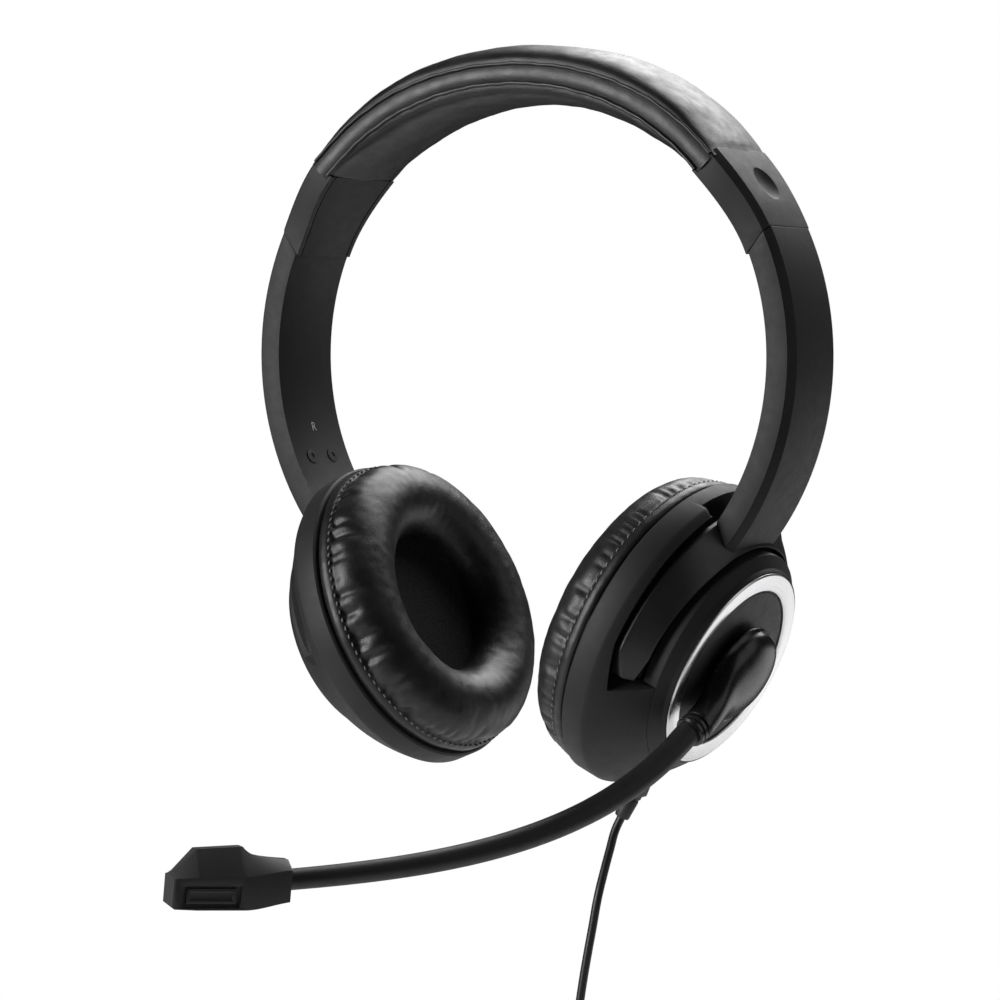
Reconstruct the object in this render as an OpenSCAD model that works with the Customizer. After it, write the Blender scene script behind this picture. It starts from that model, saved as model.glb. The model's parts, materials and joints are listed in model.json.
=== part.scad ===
// Office headset with two ear cups, a padded headband, a boom microphone and a cord.
// Millimetres. +Z is up, the wearer faces -Y, and the wearer's left ear is at +X.
// The origin is the middle of the crown's underside, where it rests on the head.

/* [Headband] */
// Inside distance between the arms where they are widest apart
inside_w = 145.4; // [138:0.1:176]
// Height from the crown's underside down to the arcs' centre line
arm_drop = 65; // [60:0.5:78]
// Radius of the arms' inner face
arm_r = 66.3; // [62:0.1:68]
// Thickness of an arm
arm_t = 7.2; // [6:0.1:8.6]
// Width of an arm, front to back
arm_w = 23.5; // [19.5:0.1:28.2]
// Width of the crown and of a slider housing's top end
crown_w = 27.4; // [24:0.1:33]
// Thickness of the padded crown in the middle
crown_t = 13.4; // [11:0.1:17]
// Wall of the arm and housing mouldings
wall = 1.4; // [1:0.1:1.8]
// Thickness of the spring steel strip
spring_t = 0.8; // [0.6:0.1:1]
// Width of the spring strip and of the slider strips
strip_w = 12; // [10:0.5:13]
// Thickness of a slider strip
strip_t = 0.8; // [0.6:0.1:1]
// How far each arm pulls out of its housing
slide_travel = 15; // [10:1:16]

/* [Ear cup] */
// Outer radius of the cup's rim
cup_r = 40.5; // [38:0.1:48.6]
// Tilt of the cup axes below level, outwards
cup_tilt = 23.8; // [19:0.1:27]
// How far a metal ring's centre lies outside its arm's arc centre
cup_out = 51.3; // [49:0.1:55]
// How far a metal ring's centre lies below its arm's arc centre
cup_down = 76.4; // [73:0.1:84]
// How far the cups' axes lie behind the arms' middle
cup_back = 2.5; // [0:0.1:3]
// Outer radius of the metal ring
ring_r = 26.2; // [24:0.1:26.6]
// Width of the metal ring's face
ring_w = 4.8; // [3:0.1:6]
// Thickness of the ear cushion
cushion_t = 10.8; // [9.6:0.1:14]
// Radius of the cushion's ear well
well_r = 18.6; // [16:0.1:22]
// Diameter of the speaker
driver_d = 40; // [34:0.5:42]
// Diameter of the yoke's pivot pins
pin_d = 2; // [1.6:0.1:2.2]

/* [Boom] */
// Radius of the boom hub's round end
hub_r = 12.5; // [11:0.1:14]
// Distance from the hub's axis to the end of its neck
hub_len = 23; // [20:0.5:26]
// Angle of the hub below level
hub_drop = 28; // [20:1:35]
// Diameter of the boom tube where it leaves the hub
boom_root_d = 6.2; // [5:0.1:7]
// Diameter of the boom tube at the microphone
boom_tip_d = 4.8; // [4:0.1:6]
// Length of the microphone capsule
mic_len = 27.5; // [22:0.5:32]

/* [Cord] */
// Diameter of the cord
cord_d = 2.2; // [2:0.1:2.6]
// Mean radius of the coil
coil_r = 13; // [12:0.5:15]
// Side of the coil's square section
coil_t = 11.4; // [11:0.1:12]
// Diameter of the audio plug's pin
plug_d = 3.5; // [2.5:0.5:3.5]

/* [Hidden] */
$fn = 96;

slip = 0.05;                // radial clearance of a running pin
far = 400;

// ---- headband geometry, in the XZ plane; angles are measured at an arm's arc centre ----
arm_cx = inside_w / 2 - arm_r;
arm_out_r = arm_r + arm_t;
housing_in_r = arm_r - 0.7;
seam_in_a = 23.3;          // where the seam meets the inner face
seam_out_a = 26.3;         // where the seam meets the outer face
top_a = 44.2;              // upper end of a housing
arm_end_a = -42;           // lower end of an arm, past the cut along the yoke
spring_r = arm_r + 3.2;    // spring strip's middle, where it enters a housing
tongue_a = 40;             // end of the spring strip inside a housing
strip_r = arm_r + 0.75;    // distance of a slider strip's middle from the arc centre
strip_a = 34;              // direction of a slider strip's normal
channel_w = strip_w + 0.4;

function pol(r, a) = [arm_cx + r * cos(a), -arm_drop + r * sin(a)];
// Radius of an arc through a crest and a point dx to the side and dz below it
function arc_r(dx, dz) = (dx * dx + dz * dz) / (2 * dz);

under_end = pol(housing_in_r, top_a);
under_r = arc_r(under_end.x, -under_end.y);
spring_end = pol(spring_r, top_a);
spring_h = crown_t * 0.36;
band_r = arc_r(spring_end.x, spring_h - spring_end.y);
band_z = spring_h - band_r;
crest_end = pol(arm_out_r, top_a);
crest_r = arc_r(crest_end.x, crown_t - crest_end.y);
crest_z = crown_t - crest_r;
base_t = 1.4;

// ---- ear cup geometry; local Z points out of the cup, X down and Y back ----
ring_x = arm_cx + cup_out;
ring_z = -arm_drop - cup_down;
rim_s = -16.2;             // top of the rim band
brow_s = -2;               // where the domed face meets the ring's seat
brow_r = ring_r + 0.8;
// centre and radius of the sphere through the rim and the brow
dome_s = (brow_r * brow_r - cup_r * cup_r + brow_s * brow_s - rim_s * rim_s) / (2 * (brow_s - rim_s));
dome_r = sqrt(brow_r * brow_r + pow(brow_s - dome_s, 2));
recess_s = -17.8;          // floor of the yoke's recess
floor_t = 1.7;
back_s = -22.4;            // where the housing meets the baffle
boss_r = ring_r + 2;       // raised middle of the housing
recess_r = cup_r - 1.4;
yoke_in_r = boss_r + 1.4;
yoke_out_r = recess_r - 1;
yoke_dome_r = dome_r - 0.4;
yoke_s = -13.8;            // inner face of the yoke
pivot_s = -11.6;           // tilt axis along the cup axis
pin_reach = 4.3;           // how far a pivot pin reaches into the yoke
yoke_a = 6;                // how far a yoke leg reaches below the pivot
baffle_t = 2.2;
cushion_s = back_s - 1.2;
cushion_face = cushion_s - 1.6 - cushion_t;
bulge_r = cup_r - 1.3;
ring_in_r = ring_r - ring_w;
cap_s = -5.4;

rivet_r = 1.6;
// how far a rivet reaches past the spring strip's middle, into the housing
rivet_head = arm_out_r - wall + 0.6 - spring_r;
strip_up = slide_travel - 3.8;   // how far a slider strip reaches above the slide's middle
strip_down = strip_r * tan(16);
screw_a = -24.5;           // where the arm screws are, round the arm's arc
screw_r = 0.9;
screw_len = 5;
axle_r = 4;

// ---- boom; cup_point turns a point of the cup's frame into the headset's frame ----
function cup_point(p) = [
    ring_x - p.x * sin(cup_tilt) + p.z * cos(cup_tilt),
    p.y + cup_back,
    ring_z - p.x * cos(cup_tilt) - p.z * sin(cup_tilt)
];
hub_neck_s = 5.5;
collar_len = 3;
neck_dir = [sin(hub_drop), -cos(hub_drop), 0];
function neck_point(out) = cup_point([neck_dir.x * out, neck_dir.y * out, hub_neck_s]);
boom_start = neck_point(hub_len + collar_len);
boom_root = neck_point(hub_len + collar_len + 1.2);
boom_end = [ring_x - 45.6, -121, ring_z - 39];
boom_lead = [-6.4, -30, -21.7];    // direction and weight of the route at the hub
boom_trail = [20.4, 36, 0];        // direction and weight of the route at the microphone
mic_dir = -boom_trail / norm(boom_trail);
mic_turn = atan2(mic_dir.y, mic_dir.x);
mic_pitch = 4.6;           // the capsule points a little above the end of its arm
mic_split = 1;             // parting plane of the capsule's halves

// ---- cord ----
gland_s = -13.6;
gland_y = 3;
gland_r = 2.9;
gland_out = cup_r + 2.6;
exit_lean = 12;            // forward lean of the strain relief
relief_len = 7;
relief_tip = cup_point([gland_out + relief_len * cos(exit_lean),
                        gland_y - relief_len * sin(exit_lean), gland_s]);
// The free stretch from the strain relief down to the coil, then from the coil to the plug
run_points = [[24, 3, -184.9], [24, 0.6, -189.2], [24.3, -2.9, -194.8], [24.4, -6, -201],
              [23.6, -6.9, -208], [22.7, -7.7, -215], [21.8, -8.3, -222], [21, -8.7, -229],
              [20.4, -9, -237], [20.1, -9, -245], [20, -9, -253], [20, -9, -260]];
coil_x = 2.5;
coil_y = -4.5;
coil_z = -260;
tail_points = [[20, 0, -260], [20, 0, -268], [20, 0, -276], [20, 0, -283]];
plug_top = [20, 0, -282];

module side_of(left) {
    if (left) children();
    else mirror([1, 0, 0]) children();
}
// Extrudes an XZ outline along Y, centred
module slab(w) { rotate([90, 0, 0]) translate([0, 0, -w / 2]) linear_extrude(w) children(); }
module arm_frame() { translate([arm_cx, 0, -arm_drop]) rotate([90, 0, 0]) children(); }
module slide_frame() { translate([arm_cx, 0, -arm_drop]) rotate([0, 90 - strip_a, 0]) children(); }
module cup_frame() { translate([ring_x, cup_back, ring_z]) rotate([0, 90 + cup_tilt, 0]) children(); }
module tube(r_out, r_in, h) {
    difference() {
        cylinder(r = r_out, h = h);
        translate([0, 0, -1]) cylinder(r = r_in, h = h + 2);
    }
}
// Annular sector of the headband between two radii about the arm's arc centre
module arm_sector(r_in, r_out, w) {
    arm_frame() translate([0, 0, -w / 2]) difference() {
        cylinder(r = r_out, h = w);
        translate([0, 0, -1]) cylinder(r = r_in, h = w + 2);
    }
}
// Half plane on the upper (side 1) or lower (side -1) side of the seam
module seam_side(side, gap) {
    a = pol(arm_r, seam_in_a);
    b = pol(arm_out_r, seam_out_a);
    turn = atan2(b.y - a.y, b.x - a.x);
    translate([a.x, 0, a.y]) rotate([0, -turn, 0])
        translate([-far / 2, -far / 2, side > 0 ? gap : -far - gap]) cube(far);
}
// The region past angle a, towards the crown (side 1) or towards the cup (side -1)
module past_angle(a, side, gap) {
    translate([arm_cx, 0, -arm_drop]) rotate([0, -a, 0])
        translate([side > 0 ? -far / 2 : 0, -far / 2, side > 0 ? gap : -far - gap]) cube(far);
}
// Prism that narrows from the crown's width to the arm's width down the housing
module taper(inset) {
    z_top = pol(arm_out_r, top_a).y;
    z_seam = pol(arm_r, seam_in_a).y;
    top_w = crown_w / 2 - inset;
    low_w = arm_w / 2 - inset;
    rotate([90, 0, 90]) translate([0, 0, -far / 2]) linear_extrude(far)
        polygon([[-low_w, z_seam - 5], [-low_w, z_seam], [-top_w, z_top], [-top_w, z_top + 10],
                 [top_w, z_top + 10], [top_w, z_top], [low_w, z_seam], [low_w, z_seam - 5]]);
}
module crown_wedge(gap) {
    intersection() {
        past_angle(top_a, 1, gap);
        mirror([1, 0, 0]) past_angle(top_a, 1, gap);
    }
}
module crown_disc(r, z, w) {
    translate([0, 0, z]) rotate([90, 0, 0]) translate([0, 0, -w / 2]) cylinder(r = r, h = w);
}

// ---- headband ----
module spring_band() color("dimgray") difference() {
    tongue = pol(spring_r, tongue_a);
    reach = atan2(tongue.x, tongue.y - band_z);
    translate([0, 0, band_z]) rotate([90, 0, 0]) rotate([0, 0, 90 - reach])
        rotate_extrude(angle = 2 * reach)
            translate([band_r - spring_t / 2, -strip_w / 2]) square([spring_t, strip_w]);
    for (left = [true, false]) side_of(left) rivet_axis() cylinder(r = rivet_r, h = 6, center = true);
}
module rivet_axis() {
    a = (top_a + tongue_a) / 2;
    p = pol(spring_r, a);
    translate([p.x, 0, p.y]) rotate([0, 90 - a, 0]) children();
}
module crown_base() color("black") {
    r = band_r - spring_t / 2;
    intersection() {
        difference() {
            crown_disc(r, band_z, crown_w - 4);
            crown_disc(r - base_t, band_z, crown_w);
        }
        crown_wedge(0.2);
        translate([-far / 2, -far / 2, -60]) cube([far, far, far]);
    }
}
module crown_pad_top() color("#1c1c1e") {
    base_r = band_r + spring_t / 2 + 0.1;
    intersection() {
        difference() {
            crown_disc(crest_r, crest_z, crown_w - 0.6);
            crown_disc(base_r, band_z, crown_w);
        }
        crown_wedge(0.3);
        translate([-far / 2, -far / 2, -40]) cube([far, far, far]);
    }
}
module crown_pad_under() color("#161618") {
    base_r = band_r - spring_t / 2 - base_t - 0.1;
    intersection() {
        difference() {
            crown_disc(base_r, band_z, crown_w - 0.6);
            crown_disc(under_r, -under_r, crown_w);
        }
        crown_wedge(0.3);
        translate([-far / 2, -far / 2, -40]) cube([far, far, far]);
    }
}
// Welts along the crown's edges, two in front and two behind
module crown_piping() color("#0c0c0d") {
    welt_r = 0.7;
    for (side = [-1, 1], level = [-1, 1]) {
        r = band_r + level * 1.1;
        a = crown_arc_a();
        translate([0, side * (crown_w / 2 + 0.45), band_z]) rotate([90, 0, 0]) rotate([0, 0, 90 - a])
            rotate_extrude(angle = 2 * a) translate([r, 0]) circle(r = welt_r, $fn = 20);
    }
}
function crown_arc_a() = atan2(spring_end.x, spring_end.y - band_z) - 1.4;
module band_rivets() color("silver") for (left = [true, false]) side_of(left)
    rivet_axis() translate([0, 0, -0.7]) cylinder(r = rivet_r, h = 0.7 + rivet_head);
module housing_outer() color("#232325") difference() {
    intersection() {
        arm_sector(housing_in_r, arm_out_r, crown_w);
        taper(0);
        seam_side(1, 0);
        past_angle(top_a, -1, 0);
    }
    arm_sector(housing_in_r - 1, arm_out_r - wall, channel_w);
    // recess for the inner cover
    intersection() {
        arm_sector(housing_in_r - 1, housing_in_r + 1, crown_w);
        taper(wall + 0.4);
    }
    // thumb dimple in the outer face
    dimple = pol(arm_out_r + 7.9, 36);
    translate([dimple.x, 0, dimple.y]) sphere(r = 9);
    rivet_axis() cylinder(r = rivet_r, h = rivet_head);
    // pocket for the detent
    slide_frame() translate([-3, channel_w / 2 - 1, strip_r - 0.5]) cube([6, 2.8, 2.2]);
}
module housing_inner() color("#171719") intersection() {
    arm_sector(housing_in_r, housing_in_r + 0.9, crown_w);
    taper(wall + 0.5);
    seam_side(1, 0);
    past_angle(top_a, -1, 0);
}
module detent() color("gray") slide_frame() translate([-3, channel_w / 2 - 0.1, strip_r - 0.4])
    cube([6, 1.9, 2.1]);

// ---- arms ----
module slider_strip() color("silver") slide_frame() translate([0, 0, strip_r - strip_t / 2]) difference() {
    translate([-strip_up, -strip_w / 2, 0]) cube([strip_up + strip_down, strip_w, strip_t]);
    for (i = [0 : 5]) translate([3 - i * 2.5, strip_w / 2 + 0.4, -1]) cylinder(r = 1, h = 3, $fn = 24);
    translate([strip_down - 4, 0, -1]) cylinder(r = 1.3, h = 3);
}
module arm_cut(grow) {
    // everything under the yoke's outer face
    cup_frame() translate([0, 0, dome_s]) sphere(r = yoke_dome_r + grow);
}
module arm_blank(r_in, r_out, w) intersection() {
    arm_sector(r_in, r_out, w);
    seam_side(-1, 0.12);
    past_angle(arm_end_a, 1, 0);
    translate([0, -far / 2, -far]) cube(far);
}
module arm_inner() color("#1b1b1d") difference() {
    arm_blank(arm_r, arm_out_r - wall, arm_w);
    difference() {
        arm_sector(arm_r + wall, arm_out_r, arm_w - 3.2);
        past_angle(-38.5, -1, 0);
    }
    arm_cut(0.05);
    arm_screw_axis() translate([0, 0, -4]) cylinder(r = 1.2, h = 8);
    arm_screw_axis() translate([0, 0, -4]) cylinder(r = 2.1, h = 4 + 0.6);
}
// Outer cover with chamfered edges
module arm_outer() color("#2a2a2c") difference() {
    intersection() {
        arm_frame() rotate_extrude()
            polygon([[arm_out_r - wall, -arm_w / 2], [arm_out_r - 1.2, -arm_w / 2],
                     [arm_out_r, -arm_w / 2 + 2], [arm_out_r, arm_w / 2 - 2],
                     [arm_out_r - 1.2, arm_w / 2], [arm_out_r - wall, arm_w / 2]]);
        seam_side(-1, 0.12);
        past_angle(arm_end_a, 1, 0);
        translate([0, -far / 2, -far]) cube(far);
    }
    arm_cut(0.05);
}
// Puts children at each arm screw, local Z pointing outwards from the arm's inner face
module arm_screw_axis() {
    p = pol(arm_r, screw_a);
    for (y = [-4.6, 4.6]) translate([p.x, y, p.y]) rotate([0, 90 - screw_a, 0]) children();
}
module arm_screws() color("#2f2f31") arm_screw_axis() {
    difference() {
        translate([0, 0, -0.2]) cylinder(r = 2, h = 0.8);
        translate([0, 0, -1]) cylinder(r = 0.8, h = 1.3, $fn = 6);
    }
    cylinder(r = 1.05, h = 3);
}
// Horseshoe over the top of the cup, with a tongue that runs up inside the arm
module yoke() color("#202022") {
    tongue_r = arm_r + wall + 0.05;
    tongue_top = -20;
    difference() {
        union() {
            cup_frame() intersection() {
                translate([0, 0, dome_s]) sphere(r = yoke_dome_r);
                translate([0, 0, yoke_s]) tube(yoke_out_r, yoke_in_r, 20);
                rotate([0, 0, 90 - yoke_a]) rotate_extrude(angle = 180 + 2 * yoke_a)
                    translate([yoke_in_r - 5, -20]) square([20, 20]);
            }
            difference() {
                intersection() {
                    arm_sector(tongue_r, arm_out_r - wall - 0.1, 16);
                    past_angle(tongue_top, -1, 0);
                    past_angle(-40, 1, 0);
                    translate([0, -far / 2, -far]) cube(far);
                }
                cup_frame() translate([0, 0, dome_s]) sphere(r = yoke_dome_r - 1);
            }
        }
        arm_screw_axis() cylinder(r = 1.1, h = 5);
        cup_frame() translate([0, 0, pivot_s]) rotate([90, 0, 0])
            cylinder(d = pin_d + 2 * slip, h = 2 * (yoke_in_r + pin_reach + 0.3), center = true);
    }
}

// ---- ear cups ----
module recess_sector(a) rotate([0, 0, 90 - a]) rotate_extrude(angle = 180 + 2 * a)
    translate([boss_r, recess_s]) square([recess_r - boss_r, 30]);
module cup_housing(left) color("#1e1e20") cup_frame() difference() {
    intersection() {
        translate([0, 0, back_s]) cylinder(r = cup_r, h = -back_s + cap_s);
        translate([0, 0, dome_s]) sphere(r = dome_r);
    }
    recess_sector(yoke_a + 6);
    // slot in the rim where the arm passes
    translate([-cup_r - 5, -cup_back - arm_w / 2 - 1.5, recess_s]) cube([12, arm_w + 3, 20]);
    // room behind the recess floor, round the screw posts, and inside the boss
    difference() {
        translate([0, 0, back_s - 1]) cylinder(r = cup_r - 2, h = 1 + recess_s - floor_t - back_s);
        screw_axis() translate([0, 0, -2]) cylinder(r = 2.4, h = 20);
    }
    translate([0, 0, back_s - 1]) cylinder(r = boss_r - 1.8, h = 40);
    screw_axis() cylinder(r = screw_r, h = screw_len);
    for (y = [-1, 1]) translate([0, 0, pivot_s]) rotate([90 * y, 0, 0])
        translate([0, 0, boss_r - 4]) cylinder(d = pin_d, h = 6);
    if (left) {
        // mouth for the cord gland
        translate([boss_r - 3, gland_y, gland_s]) rotate([0, 90, 0]) cylinder(r = gland_r, h = 20);
    }
}
module cup_cap(left) color("#242426") cup_frame() difference() {
    intersection() {
        translate([0, 0, cap_s]) cylinder(r = boss_r, h = 10);
        translate([0, 0, dome_s]) sphere(r = dome_r);
        translate([0, 0, cap_s]) cylinder(r = boss_r, h = -cap_s - 0.6);
    }
    translate([0, 0, -1.8]) cylinder(r = ring_r, h = 5);
    translate([0, 0, -3]) cylinder(r = ring_in_r - 2, h = 5);
    if (left) translate([0, 0, cap_s - 1]) cylinder(r = axle_r, h = 10);
}
// Puts children at each of the four screws that hold a baffle, at its head side
module screw_axis() for (a = [45 : 90 : 315]) rotate([0, 0, a])
    translate([boss_r + 3, 0, back_s - baffle_t]) children();
module cup_ring() color("silver") cup_frame() rotate_extrude()
    polygon([[ring_in_r, -1.8], [ring_r, -1.8], [ring_r, -0.3], [ring_r - 0.5, 0], [ring_in_r, -0.9]]);
module cup_disc(left) color("#1a1a1c") cup_frame() difference() {
    union() {
        translate([0, 0, -1.8]) cylinder(r = ring_in_r - 0.05, h = 0.6);
        translate([0, 0, -3]) cylinder(r = ring_in_r - 2.05, h = 1.5);
    }
    if (left) translate([0, 0, -4]) cylinder(r = axle_r, h = 10);
}
module cup_baffle() color("#101011") cup_frame() difference() {
    union() {
        translate([0, 0, back_s - baffle_t]) cylinder(r = cup_r - 1.6, h = baffle_t);
        translate([0, 0, back_s]) tube(cup_r - 2.1, cup_r - 4, 1.6);
    }
    translate([0, 0, back_s - baffle_t - 1]) cylinder(d = driver_d, h = 10);
    screw_axis() translate([0, 0, -1]) cylinder(r = 2, h = 2);
    screw_axis() cylinder(r = screw_r, h = screw_len);
}
module driver() color("#303032") cup_frame() translate([0, 0, back_s - baffle_t + 0.1]) difference() {
    union() {
        cylinder(d = driver_d - 0.1, h = 3);
        cylinder(d = driver_d - 10, h = 6);
    }
    translate([0, 0, 1]) cylinder(d = driver_d - 14, h = 1.2);
    translate([0, 0, 4.5]) cylinder(d = driver_d / 2, h = 4);
}
module driver_magnet() color("silver") cup_frame() translate([0, 0, back_s - baffle_t + 4.6]) {
    cylinder(d = driver_d / 2 - 0.1, h = 3);
}
module ear_cloth() color("#0a0a0b") cup_frame() translate([0, 0, back_s - baffle_t - 0.9])
    cylinder(r = well_r + 6, h = 0.9);
module ear_cushion() color("#151516") cup_frame() translate([0, 0, cushion_face]) difference() {
    rotate_extrude() cushion_outline();
    translate([0, 0, cushion_face_depth() - 1]) cylinder(r = well_r + 6.2, h = 20);
}
// From the head side (0) to the flange that grips the baffle
function cushion_face_depth() = back_s - baffle_t - 1 - cushion_face;
module cushion_outline() {
    d = cushion_s - cushion_face;
    mid = (bulge_r + well_r) / 2;
    half = (bulge_r - well_r) / 2;
    difference() {
        union() {
            translate([well_r, half]) square([bulge_r - well_r, d - half - 2]);
            translate([mid, half]) circle(r = half);
            translate([well_r, d - 4]) square([cup_r - 0.6 - well_r, 4]);
        }
        translate([0, d - 1 - 0.05]) square([cup_r - 1.55, 2 * half]);
    }
}
module pivot_pins() color("silver") cup_frame() for (y = [-1, 1]) translate([0, 0, pivot_s])
    rotate([90 * y, 0, 0]) translate([0, 0, boss_r - 3.8])
        cylinder(d = pin_d, h = 3.8 + yoke_in_r + pin_reach - boss_r);
module cup_screws() color("gray") cup_frame() screw_axis() {
    cylinder(r = 1.9, h = 1);
    cylinder(r = screw_r, h = screw_len);
}

// ---- boom ----
module hub_turn() { cup_frame() rotate([0, 0, -90 + hub_drop]) children(); }
module boom_axle() color("#303032") cup_frame() {
    translate([0, 0, cap_s - 2.2]) cylinder(r = axle_r + 2.5, h = 2);
    translate([0, 0, cap_s - 1]) cylinder(r = axle_r - slip, h = -cap_s + 3);
}
module boom_washer() color("silver") cup_frame() translate([0, 0, -0.95]) tube(7, axle_r, 0.95);
module boom_hub() color("#101011") difference() {
    hub_turn() hull() {
        intersection() {
            scale([1, 1, 0.68]) sphere(r = hub_r, $fn = 40);
            translate([-20, -20, 0]) cube(40);
        }
        translate([hub_len - 2, 0, hub_neck_s]) rotate([0, 90, 0]) cylinder(r = 4, h = 2, $fn = 24);
    }
    cup_frame() translate([0, 0, -1]) cylinder(r = axle_r, h = 3);
}
function bezier(t, a, b, c, d) =
    pow(1 - t, 3) * a + 3 * t * pow(1 - t, 2) * b + 3 * t * t * (1 - t) * c + t * t * t * d;
function boom_route(n) = concat([boom_start], [for (i = [0 : n])
    bezier(i / n, boom_root, boom_root + boom_lead, boom_end + boom_trail, boom_end)]);
module boom_collar() color("#1a1a1b") hub_turn() translate([hub_len + 0.02, 0, hub_neck_s]) rotate([0, 90, 0])
    cylinder(r = 3.9, h = collar_len - 0.04);
module boom_tube() color("#151516") {
    route = boom_route(24);
    sweep(route, [for (i = [0 : 25]) boom_root_d / 2 + (boom_tip_d - boom_root_d) / 2 * i / 25], 16);
}
// Local X runs along the capsule, Y towards the wearer's side and Z up
module mic_frame() { translate(boom_end) rotate([0, -mic_pitch, mic_turn]) children(); }
module mic_body() hull() {
    for (end = [[0.3, 4.6, 5.6, 4.4], [9.5, 4.6, 5.6, 4.4],
                [12, 6.6, 6.6, 5.2], [mic_len - 2, 6.6, 6.6, 5.2]])
        translate([end[0], 0, 0]) rotate([90, 0, 90]) linear_extrude(0.2)
            polygon([[-end[3], -end[1]], [end[3], -end[1]], [end[3], 0.4], [1, end[2]],
                     [-1, end[2]], [-end[3], 0.4]]);
    translate([mic_len - 0.2, -4, -5]) cube([0.2, 8, 6]);
}
module mic_core() translate([12.5, -3.2, -4.6]) cube([10.5, 6.4, 5.2]);
module mic_front() color("#1c1c1e") mic_frame() difference() {
    mic_body();
    translate([-5, mic_split, -20]) cube([60, 40, 40]);
    mic_core();
    translate([12, -10, -3.9]) cube([12, 5.6, 3.4]);
}
module mic_back() color("#161618") mic_frame() difference() {
    mic_body();
    translate([-5, mic_split - 40 + 0.02, -20]) cube([60, 40, 40]);
    mic_core();
}
module mic_capsule() color("gray") mic_frame() translate([17.7, -3, -2]) rotate([-90, 0, 0])
    cylinder(r = 2.4, h = 6);

// ---- cord ----
module gland_frame() { cup_frame() translate([gland_out, gland_y, gland_s]) children(); }
module relief_frame() { gland_frame() rotate([0, 0, -exit_lean]) rotate([0, 90, 0]) children(); }
module cord_gland() color("#18181a") cup_frame() {
    translate([boss_r - 1.5, gland_y, gland_s]) rotate([0, 90, 0]) cylinder(r = gland_r - 0.05, h = 13.5);
    difference() {
        translate([cup_r - 4, gland_y - 2.6, gland_s - 2.4]) cube([gland_out - cup_r + 4, 5.2, 4.8]);
        translate([0, 0, -30]) cylinder(r = cup_r + 0.02, h = 30);
    }
}
module strain_relief() color("#111112") difference() {
    relief_frame() translate([0, 0, -1.6]) cylinder(r1 = 2.3, r2 = 1.7, h = relief_len + 1.6);
    cup_frame() translate([cup_r - 8, gland_y - 6, gland_s - 6]) cube([gland_out - cup_r + 8.02, 12, 12]);
}
function unit(v) = v / norm(v);
function tangent(pts, i) =
    unit(pts[min(i + 1, len(pts) - 1)] - pts[max(i - 1, 0)]);
// Rings of points about a route, with radius r[i] at point i
function ring_points(p, dir, r, sides) =
    let (side = unit(cross(dir, abs(dir.y) > 0.9 ? [1, 0, 0] : [0, 1, 0])), up = cross(side, dir))
    [for (k = [0 : sides - 1]) p + r * cos(360 * k / sides) * side + r * sin(360 * k / sides) * up];
module sweep(pts, radii, sides) {
    n = len(pts);
    points = [for (i = [0 : n - 1]) each ring_points(pts[i], tangent(pts, i), radii[i], sides)];
    faces = concat(
        [[for (k = [0 : sides - 1]) k]],
        [for (i = [0 : n - 2], k = [0 : sides - 1]) [i * sides + k, (i + 1) * sides + k,
            (i + 1) * sides + (k + 1) % sides, i * sides + (k + 1) % sides]],
        [[for (k = [sides - 1 : -1 : 0]) (n - 1) * sides + k]]
    );
    polyhedron(points, faces, convexity = 6);
}
module cord_run() color("#0c0c0d") {
    route = concat([relief_tip], run_points);
    sweep(route, [for (p = route) cord_d / 2], 8);
    sweep(tail_points, [for (p = tail_points) cord_d / 2], 8);
}
module coil_section(grow) {
    translate([coil_r - coil_t / 2 - grow, -coil_t / 2 - grow])
        square([coil_t + 2 * grow, coil_t + 2 * grow]);
}
module coil_frame() { translate([coil_x, coil_y, coil_z]) rotate([90, 0, 0]) children(); }
module cord_coil() color("#0c0c0d") coil_frame() rotate_extrude() coil_section(0);
module coil_tie() color("#060606") coil_frame() rotate([0, 0, 172]) rotate_extrude(angle = 24) difference() {
    coil_section(1.1);
    coil_section(0);
}
module plug_boot() color("#131314") translate(plug_top) mirror([0, 0, 1]) cylinder(r1 = 1.7, r2 = 2.6, h = 8);
module plug_shell() color("#1b1b1c") translate(plug_top) mirror([0, 0, 1]) translate([0, 0, 8]) {
    cylinder(r = 3.4, h = 15);
    translate([0, 0, 15]) cylinder(r = 2.8, h = 1);
}
module plug_pin() color("goldenrod") translate(plug_top) mirror([0, 0, 1]) translate([0, 0, 24]) {
    cylinder(d = plug_d, h = 11.5);
    translate([0, 0, 11.5]) cylinder(d1 = plug_d - 0.9, d2 = plug_d, h = 1.2);
    translate([0, 0, 12.7]) cylinder(d1 = plug_d, d2 = 0.8, h = 1.8);
}

spring_band();
crown_base();
crown_pad_top();
crown_pad_under();
crown_piping();
band_rivets();
housing_outer();  // housing_outer_left
side_of(false) housing_outer();  // housing_outer_right
housing_inner();  // housing_inner_left
side_of(false) housing_inner();  // housing_inner_right
detent();  // detent_left
side_of(false) detent();  // detent_right
slider_strip();  // slider_strip_left
side_of(false) slider_strip();  // slider_strip_right
arm_inner();  // arm_inner_left
side_of(false) arm_inner();  // arm_inner_right
arm_outer();  // arm_outer_left
side_of(false) arm_outer();  // arm_outer_right
yoke();  // yoke_left
side_of(false) yoke();  // yoke_right
arm_screws();  // arm_screws_left
side_of(false) arm_screws();  // arm_screws_right
cup_housing(true);  // cup_housing_left
side_of(false) cup_housing(false);  // cup_housing_right
cup_cap(true);  // cup_cap_left
side_of(false) cup_cap(false);  // cup_cap_right
cup_ring();  // cup_ring_left
side_of(false) cup_ring();  // cup_ring_right
cup_disc(true);  // cup_disc_left
side_of(false) cup_disc(false);  // cup_disc_right
cup_baffle();  // cup_baffle_left
side_of(false) cup_baffle();  // cup_baffle_right
driver();  // driver_left
side_of(false) driver();  // driver_right
driver_magnet();  // driver_magnet_left
side_of(false) driver_magnet();  // driver_magnet_right
ear_cloth();  // ear_cloth_left
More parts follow.
